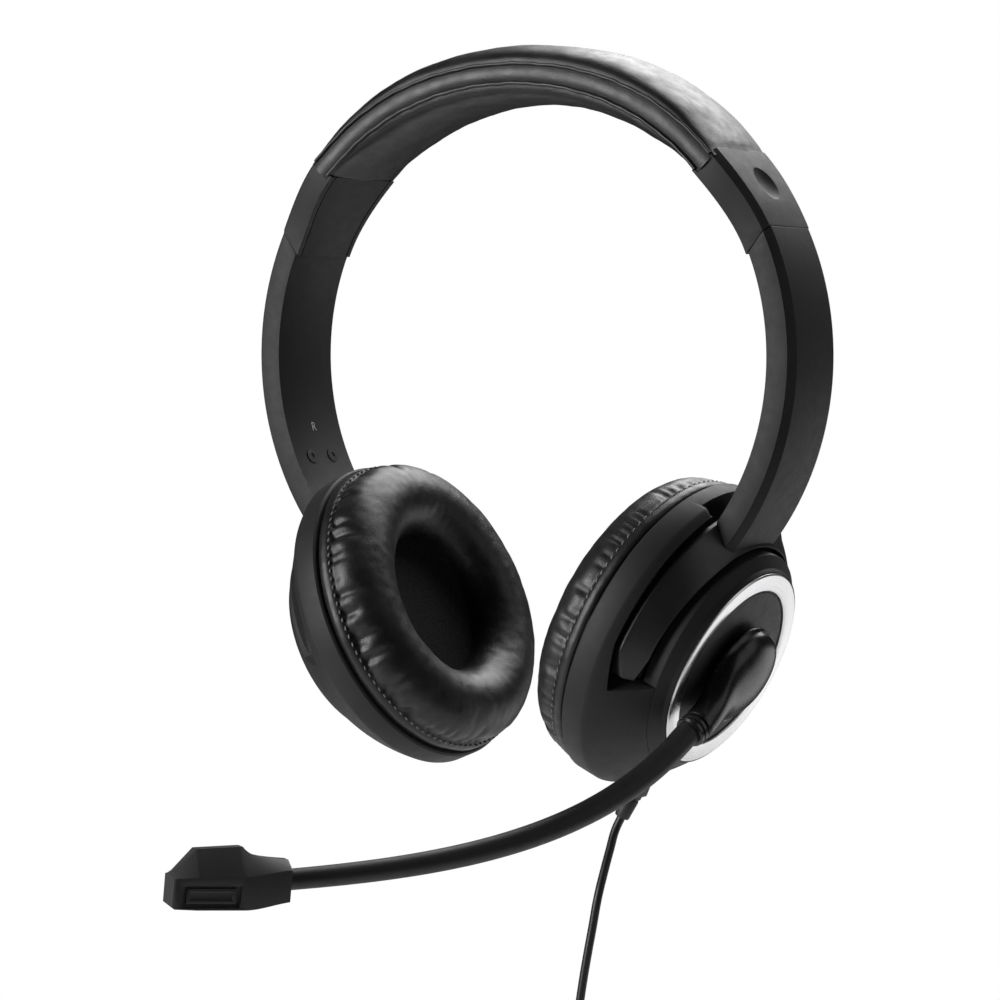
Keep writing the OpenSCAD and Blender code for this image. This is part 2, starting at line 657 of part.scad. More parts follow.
side_of(false) ear_cloth();  // ear_cloth_right
ear_cushion();  // ear_cushion_left
side_of(false) ear_cushion();  // ear_cushion_right
pivot_pins();  // pivot_pins_left
side_of(false) pivot_pins();  // pivot_pins_right
cup_screws();  // cup_screws_left
side_of(false) cup_screws();  // cup_screws_right
boom_axle();
boom_hub();
boom_washer();
boom_collar();
boom_tube();
mic_front();
mic_back();
mic_capsule();
cord_gland();
strain_relief();
cord_run();
cord_coil();
coil_tie();
plug_boot();
plug_shell();
plug_pin();
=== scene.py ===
import bpy
import bmesh
import json
import random
from math import sin, cos, pi, radians, degrees, sqrt, atan2, exp, hypot
from mathutils import Vector, Matrix, noise


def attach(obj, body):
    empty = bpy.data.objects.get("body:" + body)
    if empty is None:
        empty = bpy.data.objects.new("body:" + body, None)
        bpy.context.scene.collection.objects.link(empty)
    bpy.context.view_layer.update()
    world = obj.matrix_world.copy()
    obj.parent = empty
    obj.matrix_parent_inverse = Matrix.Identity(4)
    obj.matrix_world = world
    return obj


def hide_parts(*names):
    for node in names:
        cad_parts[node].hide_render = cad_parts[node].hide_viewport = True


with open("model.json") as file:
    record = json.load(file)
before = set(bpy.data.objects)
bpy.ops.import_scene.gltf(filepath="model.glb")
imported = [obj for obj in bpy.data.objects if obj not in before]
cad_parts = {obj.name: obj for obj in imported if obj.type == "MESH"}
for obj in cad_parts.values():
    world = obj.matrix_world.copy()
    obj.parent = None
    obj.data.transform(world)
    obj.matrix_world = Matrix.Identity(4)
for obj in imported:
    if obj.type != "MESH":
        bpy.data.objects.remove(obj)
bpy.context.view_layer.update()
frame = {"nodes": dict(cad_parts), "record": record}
mm = 0.001
weld = 0.002 * mm
hairline = 0.06
print("frame loaded:", len(frame["nodes"]), "nodes")


# ---------- small helpers, used by every piece ----------

def deselectAll():
    if bpy.context.object and bpy.context.object.mode != "OBJECT":
        bpy.ops.object.mode_set(mode="OBJECT")
    bpy.ops.object.select_all(action="DESELECT")


def pickOnly(piece):
    deselectAll()
    piece.select_set(True)
    bpy.context.view_layer.objects.active = piece


def editAll(piece):
    pickOnly(piece)
    bpy.ops.object.mode_set(mode="EDIT")
    bpy.ops.mesh.select_all(action="SELECT")


def nameIt(name):
    piece = bpy.context.object
    piece.name = name
    piece.data.name = name
    return piece


def drawLine(name, points, closed=False):
    # a line drawn point by point, by extruding one vertex
    deselectAll()
    bpy.ops.mesh.primitive_plane_add(size=mm, location=(0, 0, 0))
    piece = nameIt(name)
    bpy.ops.object.mode_set(mode="EDIT")
    bpy.ops.mesh.merge(type="CENTER")
    bpy.ops.transform.translate(value=points[0])
    for before, after in zip(points, points[1:]):
        step = Vector(after) - Vector(before)
        bpy.ops.mesh.extrude_region_move(TRANSFORM_OT_translate={"value": step})
    if closed:
        bpy.ops.mesh.select_all(action="DESELECT")
        mesh = bmesh.from_edit_mesh(piece.data)
        mesh.verts.ensure_lookup_table()
        for vert in mesh.verts:
            vert.select_set(len(vert.link_edges) == 1)
        mesh.select_flush(True)
        bmesh.update_edit_mesh(piece.data)
        bpy.ops.mesh.edge_face_add()
    return piece


def closeShell(piece):
    editAll(piece)
    bpy.ops.mesh.remove_doubles(threshold=weld)
    bpy.ops.mesh.select_all(action="DESELECT")
    bpy.ops.mesh.select_non_manifold(
        extend=False, use_wire=False, use_multi_face=False, use_non_contiguous=False, use_verts=False)
    bpy.ops.mesh.edge_face_add()
    bpy.ops.mesh.select_all(action="SELECT")
    bpy.ops.mesh.normals_make_consistent(inside=False)
    bpy.ops.object.mode_set(mode="OBJECT")


def turnOnLathe(name, outline, steps=144):
    # outline of (radius, height) pairs in millimetres, spun round Z
    piece = drawLine(name, [(r * mm, 0, s * mm) for r, s in outline], closed=outline[0][0] > 0)
    bpy.ops.mesh.select_all(action="SELECT")
    bpy.ops.mesh.spin(steps=steps, angle=2 * pi, center=(0, 0, 0), axis=(0, 0, 1))
    bpy.ops.mesh.select_all(action="SELECT")
    bpy.ops.mesh.remove_doubles(threshold=weld)
    bpy.ops.mesh.normals_make_consistent(inside=False)
    bpy.ops.object.mode_set(mode="OBJECT")
    return piece


def loft(name, rings):
    # a ring of vertices is extruded from station to station, each new ring set in its place, and both ends filled
    count = len(rings[0])
    deselectAll()
    bpy.ops.mesh.primitive_circle_add(vertices=count, radius=mm)
    piece = nameIt(name)
    bpy.ops.object.mode_set(mode="EDIT")
    mesh = bmesh.from_edit_mesh(piece.data)
    mesh.verts.ensure_lookup_table()
    ring = list(mesh.verts)
    for vert, place in zip(ring, rings[0]):
        vert.co = place
    for places in rings[1:]:
        made = bmesh.ops.extrude_edge_only(mesh, edges=[e for e in mesh.edges if all(v in ring for v in e.verts)])
        fresh = [g for g in made["geom"] if isinstance(g, bmesh.types.BMVert)]
        after = []
        for vert in ring:
            after.append(next(e.other_vert(vert) for e in vert.link_edges if e.other_vert(vert) in fresh))
        for vert, place in zip(after, places):
            vert.co = place
        ring = after
    bmesh.update_edit_mesh(piece.data)
    bpy.ops.object.mode_set(mode="OBJECT")
    closeShell(piece)
    return piece


def useModifier(piece, kind, **settings):
    pickOnly(piece)
    modifier = piece.modifiers.new(kind.title(), kind)
    for key, value in settings.items():
        setattr(modifier, key, value)
    bpy.ops.object.modifier_apply(modifier=modifier.name)


def roundEdges(piece, width, segments=2, angle=30):
    useModifier(piece, "BEVEL", width=width * mm, segments=segments,
                limit_method="ANGLE", angle_limit=radians(angle))


def smoothShade(piece, angle=32):
    pickOnly(piece)
    bpy.ops.object.shade_smooth_by_angle(angle=radians(angle))


def cutAway(piece, cutter):
    useModifier(piece, "BOOLEAN", operation="DIFFERENCE", solver="EXACT", object=cutter)
    bpy.data.objects.remove(cutter, do_unlink=True)


def sliceOff(piece, point, normal):
    # keeps what lies behind the plane, and fills the cut
    editAll(piece)
    bpy.ops.mesh.bisect(plane_co=point, plane_no=normal, use_fill=True, clear_outer=True)
    bpy.ops.object.mode_set(mode="OBJECT")


def placeAt(piece, matrix):
    pickOnly(piece)
    piece.matrix_world = matrix
    bpy.ops.object.transform_apply(location=True, rotation=True, scale=True)
    if matrix.determinant() < 0:
        editAll(piece)
        bpy.ops.mesh.normals_make_consistent(inside=False)
        bpy.ops.object.mode_set(mode="OBJECT")
    return piece


def copyOf(piece, name):
    twin = piece.copy()
    twin.data = piece.data.copy()
    twin.name = name
    twin.data.name = name
    bpy.context.scene.collection.objects.link(twin)
    return twin


def mirrored(piece, name):
    return placeAt(copyOf(piece, name), Matrix.Scale(-1, 4, (1, 0, 0)))


def makeBox(name, middle, size):
    deselectAll()
    bpy.ops.mesh.primitive_cube_add(size=1, location=[v * mm for v in middle])
    box = nameIt(name)
    box.scale = [v * mm for v in size]
    bpy.ops.object.transform_apply(location=True, rotation=True, scale=True)
    return box


def smoothStep(t):
    t = max(0.0, min(1.0, t))
    return t * t * (3 - 2 * t)


# ---------- camera, at the height and turn of a product picture ----------

cameraSettings = dict(
    lens=109.66, sensor=36, turn=32.686, height=3.405, roll=0.654, place=(413.41, -659.97, -55.47))


def setCamera():
    turn = radians(cameraSettings["turn"])
    height = radians(cameraSettings["height"])
    roll = radians(cameraSettings["roll"])
    back = Vector((sin(turn) * cos(height), -cos(turn) * cos(height), sin(height)))
    level = Vector((cos(turn), sin(turn), 0))
    rise = back.cross(level)
    right = cos(roll) * level + sin(roll) * rise
    up = -sin(roll) * level + cos(roll) * rise
    lens = bpy.data.cameras.new("camera")
    lens.lens = cameraSettings["lens"]
    lens.sensor_width = cameraSettings["sensor"]
    camera = bpy.data.objects.new("camera", lens)
    bpy.context.scene.collection.objects.link(camera)
    matrix = Matrix((right, up, back)).transposed().to_4x4()
    matrix.translation = Vector(cameraSettings["place"]) * mm
    camera.matrix_world = matrix
    bpy.context.scene.camera = camera


setCamera()
print("camera set")


# ---------- materials ----------

def startMaterial(name, colour, roughness, metallic=0.0, specular=0.5):
    material = bpy.data.materials.new(name)
    material.use_nodes = True
    shader = material.node_tree.nodes["Principled BSDF"]
    shader.inputs["Base Color"].default_value = (*colour, 1)
    shader.inputs["Roughness"].default_value = roughness
    shader.inputs["Metallic"].default_value = metallic
    shader.inputs["Specular IOR Level"].default_value = specular
    return material, shader


def addNode(material, kind, **settings):
    node = material.node_tree.nodes.new(kind)
    for key, value in settings.items():
        setattr(node, key, value)
    return node


def objectPlace(material):
    return addNode(material, "ShaderNodeTexCoord").outputs["Object"]


def noiseOf(material, place, scale, detail=4.0, roughness=0.6):
    node = addNode(material, "ShaderNodeTexNoise")
    node.inputs["Scale"].default_value = scale
    node.inputs["Detail"].default_value = detail
    node.inputs["Roughness"].default_value = roughness
    material.node_tree.links.new(place, node.inputs["Vector"])
    return node.outputs["Fac"]


def cellsOf(material, place, scale):
    node = addNode(material, "ShaderNodeTexVoronoi", feature="DISTANCE_TO_EDGE")
    node.inputs["Scale"].default_value = scale
    material.node_tree.links.new(place, node.inputs["Vector"])
    return node.outputs["Distance"]


def spread(material, value, low, high, fromLow=0.3, fromHigh=0.7):
    node = addNode(material, "ShaderNodeMapRange")
    node.inputs["From Min"].default_value = fromLow
    node.inputs["From Max"].default_value = fromHigh
    node.inputs["To Min"].default_value = low
    node.inputs["To Max"].default_value = high
    material.node_tree.links.new(value, node.inputs["Value"])
    return node.outputs["Result"]


def tint(material, shader, value, dark, light):
    node = addNode(material, "ShaderNodeMix", data_type="RGBA")
    node.inputs[6].default_value = (*dark, 1)
    node.inputs[7].default_value = (*light, 1)
    material.node_tree.links.new(value, node.inputs[0])
    material.node_tree.links.new(node.outputs[2], shader.inputs["Base Color"])


def addBump(material, shader, value, strength, depth, before=None):
    node = addNode(material, "ShaderNodeBump")
    node.inputs["Strength"].default_value = strength
    node.inputs["Distance"].default_value = depth * mm
    material.node_tree.links.new(value, node.inputs["Height"])
    if before:
        material.node_tree.links.new(before, node.inputs["Normal"])
    material.node_tree.links.new(node.outputs["Normal"], shader.inputs["Normal"])
    return node.outputs["Normal"]


leather = dict(grain=1700, dark=(0.006, 0.006, 0.0065), light=(0.018, 0.018, 0.019), low=0.34, high=0.50)


def makeLeatherette(name):
    material, shader = startMaterial(name, leather["light"], 0.35)
    place = objectPlace(material)
    broad = noiseOf(material, place, 70, 3)
    tint(material, shader, spread(material, broad, 0, 1), leather["dark"], leather["light"])
    link = material.node_tree.links.new
    wear = noiseOf(material, place, 260, 4)
    link(spread(material, wear, leather["low"], leather["high"]), shader.inputs["Roughness"])
    creases = addBump(material, shader, noiseOf(material, place, 210, 3, 0.5), 0.35, 0.35)
    cells = spread(material, cellsOf(material, place, leather["grain"]), 0, 1, 0.0, 0.22)
    pores = addBump(material, shader, cells, 0.30, 0.05, creases)
    addBump(material, shader, noiseOf(material, place, leather["grain"] * 2.6, 2), 0.25, 0.02, pores)
    return material


def makePlastic(name, dark, light, low, high, grain=2600, depth=0.012, specular=0.5):
    material, shader = startMaterial(name, light, low, specular=specular)
    place = objectPlace(material)
    tint(material, shader, spread(material, noiseOf(material, place, 45, 2), 0, 1), dark, light)
    link = material.node_tree.links.new
    link(spread(material, noiseOf(material, place, 330, 5, 0.7), low, high), shader.inputs["Roughness"])
    addBump(material, shader, noiseOf(material, place, grain, 3, 0.55), 0.35, depth)
    return material


def makeTurnedMetal(name, colour, roughness, middle, turn):
    # fine rings round the cup's axis, from the lathe
    material, shader = startMaterial(name, colour, roughness, metallic=1.0)
    shader.inputs["Anisotropic"].default_value = 0.75
    place = objectPlace(material)
    link = material.node_tree.links.new
    mapping = addNode(material, "ShaderNodeMapping", vector_type="TEXTURE")
    mapping.inputs["Location"].default_value = middle
    mapping.inputs["Rotation"].default_value = (0, turn, 0)
    link(place, mapping.inputs["Vector"])
    split = addNode(material, "ShaderNodeSeparateXYZ")
    link(mapping.outputs["Vector"], split.inputs["Vector"])
    flat = addNode(material, "ShaderNodeCombineXYZ")
    link(split.outputs["X"], flat.inputs["X"])
    link(split.outputs["Y"], flat.inputs["Y"])
    away = addNode(material, "ShaderNodeVectorMath", operation="LENGTH")
    link(flat.outputs["Vector"], away.inputs[0])
    rings = addNode(material, "ShaderNodeTexNoise", noise_dimensions="1D")
    rings.inputs["Scale"].default_value = 5200
    rings.inputs["Detail"].default_value = 2
    link(away.outputs["Value"], rings.inputs["W"])
    link(spread(material, rings.outputs["Fac"], roughness - 0.05, roughness + 0.08), shader.inputs["Roughness"])
    spoke = addNode(material, "ShaderNodeVectorMath", operation="SUBTRACT")
    spoke.inputs[1].default_value = middle
    link(place, spoke.inputs[0])
    grain = addNode(material, "ShaderNodeVectorMath", operation="CROSS_PRODUCT")
    grain.inputs[1].default_value = (cos(turn - pi / 2), 0, -sin(turn - pi / 2))
    link(spoke.outputs["Vector"], grain.inputs[0])
    link(grain.outputs["Vector"], shader.inputs["Tangent"])
    addBump(material, shader, rings.outputs["Fac"], 0.22, 0.01)
    return material


def makeMetal(name, colour, roughness):
    material, shader = startMaterial(name, colour, roughness, metallic=1.0)
    place = objectPlace(material)
    link = material.node_tree.links.new
    wear = noiseOf(material, place, 900, 4)
    link(spread(material, wear, roughness - 0.06, roughness + 0.1), shader.inputs["Roughness"])
    addBump(material, shader, noiseOf(material, place, 4000, 2), 0.15, 0.006)
    return material


def makeSpeakerCloth(name):
    material, shader = startMaterial(name, (0.012, 0.012, 0.013), 0.9, specular=0.25)
    place = objectPlace(material)
    holes = cellsOf(material, place, 1300)
    tint(material, shader, spread(material, holes, 0, 1, 0.0, 0.3), (0.002, 0.002, 0.002), (0.016, 0.016, 0.017))
    addBump(material, shader, holes, 0.6, 0.15)
    return material


swing = next(j for j in frame["record"]["behaviour"]["joints"] if j["name"] == "boom_swing")
ringMiddle = Vector(swing["pos_m"])
outward = -Vector(swing["axis"])
cupTilt = atan2(-outward.z, outward.x)
cupMatrix = Matrix.Translation(ringMiddle) @ Matrix.Rotation(pi / 2 + cupTilt, 4, "Y")
mirrorMatrix = Matrix.Scale(-1, 4, (1, 0, 0))

cupPlaces = {"left": cupMatrix, "right": mirrorMatrix @ cupMatrix}

satin = dict(dark=(0.019, 0.019, 0.020), light=(0.027, 0.027, 0.028), low=0.48, high=0.58, specular=0.22)
finishes = {
    "leatherette": makeLeatherette("soft leatherette"),
    "satin_plastic": makePlastic("satin shell plastic", **satin),
    "dark_plastic": makePlastic("dark moulded plastic", (0.010, 0.010, 0.0105), (0.016, 0.016, 0.0165),
                                0.50, 0.62, grain=1900, depth=0.02),
    "gloss_plastic": makePlastic("polished black plastic", (0.007, 0.007, 0.007), (0.011, 0.011, 0.0115),
                                 0.24, 0.32, depth=0.004),
    "brushed_ring": makeTurnedMetal("turned aluminium", (0.80, 0.80, 0.81), 0.24, ringMiddle,
                                    pi / 2 + cupTilt),
    "steel": makeMetal("rolled steel", (0.42, 0.42, 0.43), 0.35),
    "cloth": makeSpeakerCloth("speaker cloth"),
    "cord_jacket": makePlastic("cord jacket", (0.007, 0.007, 0.0075), (0.012, 0.012, 0.0125),
                               0.34, 0.46, grain=1500),
    "soft_rubber": makePlastic("soft black rubber", (0.010, 0.010, 0.0105), (0.017, 0.017, 0.0175),
                               0.46, 0.60, grain=3000, depth=0.015),
    "plug_metal": makeMetal("gold plate", (0.83, 0.62, 0.28), 0.2),
    "screw_steel": makeMetal("blackened screw steel", (0.03, 0.03, 0.032), 0.42),
}
domePlastic = makePlastic("smooth cup plastic", (0.014, 0.014, 0.0145), (0.020, 0.020, 0.0205),
                          0.30, 0.40, grain=3000, depth=0.008)
micPlastic = makePlastic("microphone plastic", (0.034, 0.034, 0.035), (0.046, 0.046, 0.047),
                         0.38, 0.48, grain=3000)
# the stitches are real thread, but their light grey colour is a painted highlight for the sheen along the seam
threadPaintedHighlight = makePlastic("sewing thread", (0.07, 0.07, 0.072), (0.22, 0.22, 0.22),
                             0.5, 0.7, grain=6000, depth=0.05)
printInk = makePlastic("pale printed mark", (0.5, 0.5, 0.5), (0.65, 0.65, 0.65), 0.5, 0.6)


def dress(piece, slotName, material=None):
    piece.data.materials.clear()
    piece.data.materials.append(material or finishes[slotName])
    for face in getattr(piece.data, "polygons", []):
        face.material_index = 0


for row in frame["record"]["subparts"]:
    nodeObject = frame["nodes"][row["node"]]
    nodeObject.data.materials.clear()
    nodeObject.data.materials.append(finishes[row["material_slot"]])
print("materials made")


# ---------- cord, wound into a coil below the view ----------

cordSettings = dict(
    diameter=2.2,
    run=[(24, 3, -184.9), (24, 0.6, -189.2), (24.3, -2.9, -194.8), (24.4, -6, -201), (23.6, -6.9, -208),
         (22.7, -7.7, -215), (21.8, -8.3, -222), (21, -8.7, -229), (20.4, -9, -237), (20.1, -9, -245),
         (20, -9, -253)],
    tail=[(20, 0, -268), (20, 0, -276), (20, 0, -283)],
    coilMiddle=(2.5, -4.5, -260), coilRadius=13, pitch=2.25, pointsPerTurn=20)
reliefSettings = dict(out=43.1, side=3, height=-13.6, lean=12, length=7)


def cupPoint(x, y, s):
    return cupMatrix @ Vector((x * mm, y * mm, s * mm))


def reliefTip():
    r = reliefSettings
    lean = radians(r["lean"])
    return cupPoint(r["out"] + r["length"] * cos(lean), r["side"] - r["length"] * sin(lean), r["height"])


def coilCells():
    # (layer, column) of each turn: in through two columns, back out through the other three
    cells = []
    for layers, columns in ((range(5), (0, 1)), (range(4, -1, -1), (2, 3, 4))):
        for layer in layers:
            order = columns if layer % 2 == 0 else columns[::-1]
            cells += [(layer, column) for column in order]
    return cells


def coilPoints():
    c = cordSettings
    middle = Vector(c["coilMiddle"])
    cells = coilCells()
    points = []
    for here, following in zip(cells, cells[1:] + cells[-1:]):
        for k in range(c["pointsPerTurn"]):
            t = smoothStep(k / c["pointsPerTurn"])
            layer = here[0] + (following[0] - here[0]) * t
            column = here[1] + (following[1] - here[1]) * t
            radius = c["coilRadius"] + (2 - layer) * c["pitch"]
            a = 2 * pi * k / c["pointsPerTurn"]
            points.append(middle + Vector((radius * cos(a), (column - 2) * c["pitch"], -radius * sin(a))))
    lastRadius = c["coilRadius"] + 2 * c["pitch"]
    points.append(middle + Vector((lastRadius, 2 * c["pitch"], 0)))
    return points


def makeCord():
    c = cordSettings
    points = [reliefTip()]
    points += [Vector(p) * mm for p in c["run"]]
    points += [p * mm for p in coilPoints()]
    points += [Vector(p) * mm for p in c["tail"]]
    curve = bpy.data.curves.new("cord", "CURVE")
    curve.dimensions = "3D"
    curve.bevel_depth = c["diameter"] / 2 * mm
    curve.bevel_resolution = 3
    curve.resolution_u = 4
    curve.use_fill_caps = True
    spline = curve.splines.new("BEZIER")
    spline.bezier_points.add(len(points) - 1)
    for knot, point in zip(spline.bezier_points, points):
        knot.co = point
        knot.handle_left_type = "AUTO"
        knot.handle_right_type = "AUTO"
    cord = bpy.data.objects.new("cord", curve)
    bpy.context.scene.collection.objects.link(cord)
    cord.data.materials.append(finishes["cord_jacket"])
    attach(cord, "cup_left")
    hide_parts("cord_run", "cord_coil")
    length = sum((b - a).length for a, b in zip(points, points[1:]))
    print("cord length", round(length, 3))
    return cord


cord = makeCord()


# ---------- the crown: padded top, gusset and underside with welts ----------

arch = dict(middleZ=-71.22, endAngle=45.8, halfWidth=14.5, forward=0.9, stations=96)
crownShape = dict(
    under=(83.7, -12.48), crest=(77.8, 6.8), lowerWelt=(74.5, 75.6), upperWelt=(79.4, 81.0),
    lift=0.4, shoulder=1.9, sag=1.1)


def archRadius(radius, offset, a):
    return offset * cos(a) + sqrt(radius * radius - (offset * sin(a)) ** 2)


def between(pair, a):
    t = abs(a) / radians(arch["endAngle"])
    return pair[0] + (pair[1] - pair[0]) * smoothStep(t * 1.2)


def crestRadius(a):
    # flat on top, full at the shoulders, and rounded down into the housings
    t = abs(a) / radians(arch["endAngle"])
    full = smoothStep((t - 0.1) / 0.5)
    rise = crownShape["lift"] + (crownShape["shoulder"] - crownShape["lift"]) * full
    return archRadius(*crownShape["crest"], a) + rise * sqrt(max(0.0, min(1.0, (1.0 - t) / 0.2)))


def underRadius(a):
    t = abs(a) / radians(arch["endAngle"])
    return archRadius(*crownShape["under"], a) - crownShape["sag"] * smoothStep((1.0 - t) / 0.3)


def archPlace(rho, y, a):
    return Vector((rho * sin(a) * mm, (y - arch["forward"]) * mm, (arch["middleZ"] + rho * cos(a)) * mm))


def stationAngles(count, past=0.0):
    end = radians(arch["endAngle"] + past)
    return [end * (2 * i / count - 1) for i in range(count + 1)]


def makeCrownTop():
    half = arch["halfWidth"]
    rings = []
    for a in stationAngles(arch["stations"], 1.2):
        foot = between(crownShape["upperWelt"], a) - 0.1
        crest = crestRadius(a)
        ring = []
        for k in range(25):
            t = pi * k / 24
            y = -half * cos(t)
            rise = (crest - foot) * abs(sin(t)) ** 0.78
            ring.append(archPlace(foot + rise, y, a))
        for k in range(1, 8):
            y = half * (1 - 2 * k / 8)
            ring.append(archPlace(foot - 0.6, y, a))
        rings.append(ring)
    return loft("crownTop", rings)


def makeCrownGusset():
    half = arch["halfWidth"]
    rings = []
    for a in stationAngles(arch["stations"], 1.2):
        low = between(crownShape["lowerWelt"], a)
        high = between(crownShape["upperWelt"], a)
        ring = []
        for k in range(9):
            t = k / 8
            y = -half + 0.35 - 0.75 * sin(pi * t)
            ring.append(archPlace(low + (high - low) * t, y, a))
        for k in range(9):
            t = 1 - k / 8
            y = half - 0.35 + 0.75 * sin(pi * t)
            ring.append(archPlace(low + (high - low) * t, y, a))
        rings.append(ring)
    return loft("crownGusset", rings)


def makeCrownUnder():
    half = arch["halfWidth"] - 0.1
    rings = []
    for a in stationAngles(arch["stations"], 1.2):
        top = between(crownShape["lowerWelt"], a)
        under = underRadius(a)
        ring = []
        for k in range(25):
            t = pi * k / 24
            y = -half * cos(t)
            drop = (top - under) * abs(sin(t)) ** 0.6
            ring.append(archPlace(top - drop, y, a))
        for k in range(1, 8):
            y = half * (1 - 2 * k / 8)
            ring.append(archPlace(top + 0.5, y, a))
        rings.append(ring)
    return loft("crownUnder", rings)


def makeWelt(name, pair, side, radius):
    # a thin sewn cord along the crown's edge
    rings = []
    for a in stationAngles(120, 0.4):
        rho = between(pair, a)
        y = side * (arch["halfWidth"] + 0.05)
        waver = 0.12 * sin(a * 61) * cos(a * 23)
        ring = []
        for k in range(10):
            t = 2 * pi * k / 10
            ring.append(archPlace(rho + waver + radius * sin(t), y + radius * cos(t), a))
        rings.append(ring)
    return loft(name, rings)


def inflate(piece, isHeld, pressure, cap, frames=16, bending=0.4):
    # cloth under pressure, held at its seams; no point may move further than the cap
    start = [v.co.copy() for v in piece.data.vertices]
    held = piece.vertex_groups.new(name="held")
    held.add([v.index for v in piece.data.vertices if isHeld(v.co)], 1.0, "REPLACE")
    cloth = piece.modifiers.new("Cloth", "CLOTH")
    cloth.settings.quality = 6
    cloth.settings.use_pressure = True
    cloth.settings.uniform_pressure_force = pressure
    cloth.settings.vertex_group_mass = "held"
    cloth.settings.bending_stiffness = bending
    cloth.settings.tension_stiffness = 12
    cloth.settings.compression_stiffness = 12
    cloth.settings.effector_weights.gravity = 0
    cloth.point_cache.frame_start = 1
    cloth.point_cache.frame_end = frames
    for step in range(1, frames + 1):
        bpy.context.scene.frame_set(step)
    shaped = piece.evaluated_get(bpy.context.evaluated_depsgraph_get())
    moved = [v.co.copy() for v in shaped.data.vertices]
    piece.modifiers.remove(cloth)
    piece.vertex_groups.clear()
    bpy.context.scene.frame_set(1)
    furthest = 0
    for vert, before, after in zip(piece.data.vertices, start, moved):
        shift = after - before
        furthest = max(furthest, shift.length)
        if shift.length > cap * mm:
            shift *= cap * mm / shift.length
        vert.co = before + shift
    piece.data.update()
    print(piece.name, "inflated, furthest", round(furthest / mm, 2), "mm")


def crownSeam(inset, reach):
    # picks points beside the crown's long seams, or far enough out to be in the housings
    edge = (arch["halfWidth"] - inset) * mm
    return lambda co: abs(co.y + arch["forward"] * mm) > edge or abs(co.x) > reach * mm


def makeCrown():
    top = makeCrownTop()
    gusset = makeCrownGusset()
    under = makeCrownUnder()
    inflate(top, crownSeam(0.6, 58), 3.0, 0.8)
    inflate(under, crownSeam(0.7, 53), 3.0, 0.6)
    for piece in (top, gusset, under):
        for vert in piece.data.vertices:
            co = vert.co / mm
            out = Vector((co.x, co.y * 0.6, co.z - arch["middleZ"])).normalized()
            ripple = noise.noise(co * 0.16) * 0.16 + noise.noise(co * 0.55) * 0.07
            vert.co += out * ripple * mm
        smoothShade(piece, 60)
        dress(piece, "leatherette")
        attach(piece, "headband")
    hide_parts("crown_pad_top")
    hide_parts("crown_pad_under")
    levels = ((crownShape["lowerWelt"], "Lower", 0.5), (crownShape["upperWelt"], "Upper", 0.42))
    for side, sideName in ((-1, "Front"), (1, "Back")):
        for pair, levelName, radius in levels:
            welt = makeWelt("welt" + levelName + sideName, pair, side, radius)
            smoothShade(welt, 80)
            dress(welt, "leatherette")
            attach(welt, "headband")
            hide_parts("crown_piping")


makeCrown()
print("crown made")


# ---------- slider housings and arms ----------

armShape = dict(
    arcX=6.4, arcZ=-65, inner=66.3, outer=73.5, frontEdge=72.0, width=23.5, chamfer=2.0,
    seamInner=23.3, seamOuter=26.3, topAngle=44.2, topWidth=28.6, endAngle=-44, stepsPerDegree=0.7,
    dimpleAngle=36, dimpleRadius=9, dimpleOut=7.7, markAngle=-17.5, markSize=3.4)
cupShape = dict(
    ringRadius=26.2, ringWidth=4.8, cupRadius=40.5, rimHeight=-16.2, browRadius=27.0, browHeight=-2.0,
    backHeight=-22.4, recessFloor=-17.8, bossRadius=29.8, recessOut=39.1,
    legInner=30.9, legTaper=1.5, legOuter=37.3, legEnd=97, legBottom=-13.8, legSink=0.6)
# the dome is the sphere through the brow's edge and the rim's edge
brow, browTop, rim, rimTop = (cupShape[k] for k in ("browRadius", "browHeight", "cupRadius", "rimHeight"))
domeHeight = (brow * brow - rim * rim + browTop * browTop - rimTop * rimTop) / (2 * (browTop - rimTop))
domeRadius = hypot(brow, browTop - domeHeight)


def domeAt(radius, sink=0.0):
    return domeHeight + sqrt((domeRadius - sink) ** 2 - radius * radius)


def armPlace(radius, y, degreesUp):
    s = armShape
    a = radians(degreesUp)
    return Vector(((s["arcX"] + radius * cos(a)) * mm, y * mm, (s["arcZ"] + radius * sin(a)) * mm))


def sweepArm(name, section, low, high):
    # a closed section of (radius, y) spun about the arm's arc, then capped
    piece = drawLine(name, [armPlace(r, y, low) for r, y in section], closed=True)
    bpy.ops.mesh.select_all(action="SELECT")
    steps = int((high - low) * armShape["stepsPerDegree"])
    middle = (armShape["arcX"] * mm, 0, armShape["arcZ"] * mm)
    bpy.ops.mesh.spin(steps=steps, angle=radians(high - low), center=middle, axis=(0, 1, 0))
    bpy.ops.mesh.select_all(action="SELECT")
    bpy.ops.mesh.remove_doubles(threshold=weld)
    bpy.ops.mesh.select_all(action="DESELECT")
    for angle in (low, high):
        mesh = bmesh.from_edit_mesh(piece.data)
        for edge in mesh.edges:
            near = all(abs(angleOf(vert.co) - angle) < 0.5 for vert in edge.verts)
            edge.select_set(edge.is_boundary and near and edge.verts[0].co.z < 0)
        bmesh.update_edit_mesh(piece.data)
        bpy.ops.mesh.edge_face_add()
        bpy.ops.mesh.select_all(action="DESELECT")
    bpy.ops.mesh.select_all(action="SELECT")
    bpy.ops.mesh.normals_make_consistent(inside=False)
    bpy.ops.object.mode_set(mode="OBJECT")
    return piece


def angleOf(co):
    return degrees(atan2(co.z - armShape["arcZ"] * mm, co.x - armShape["arcX"] * mm))


def seamPlane():
    low = armPlace(armShape["inner"], 0, armShape["seamInner"])
    high = armPlace(armShape["outer"], 0, armShape["seamOuter"])
    along = (high - low).normalized()
    return low, Vector((-along.z, 0, along.x))


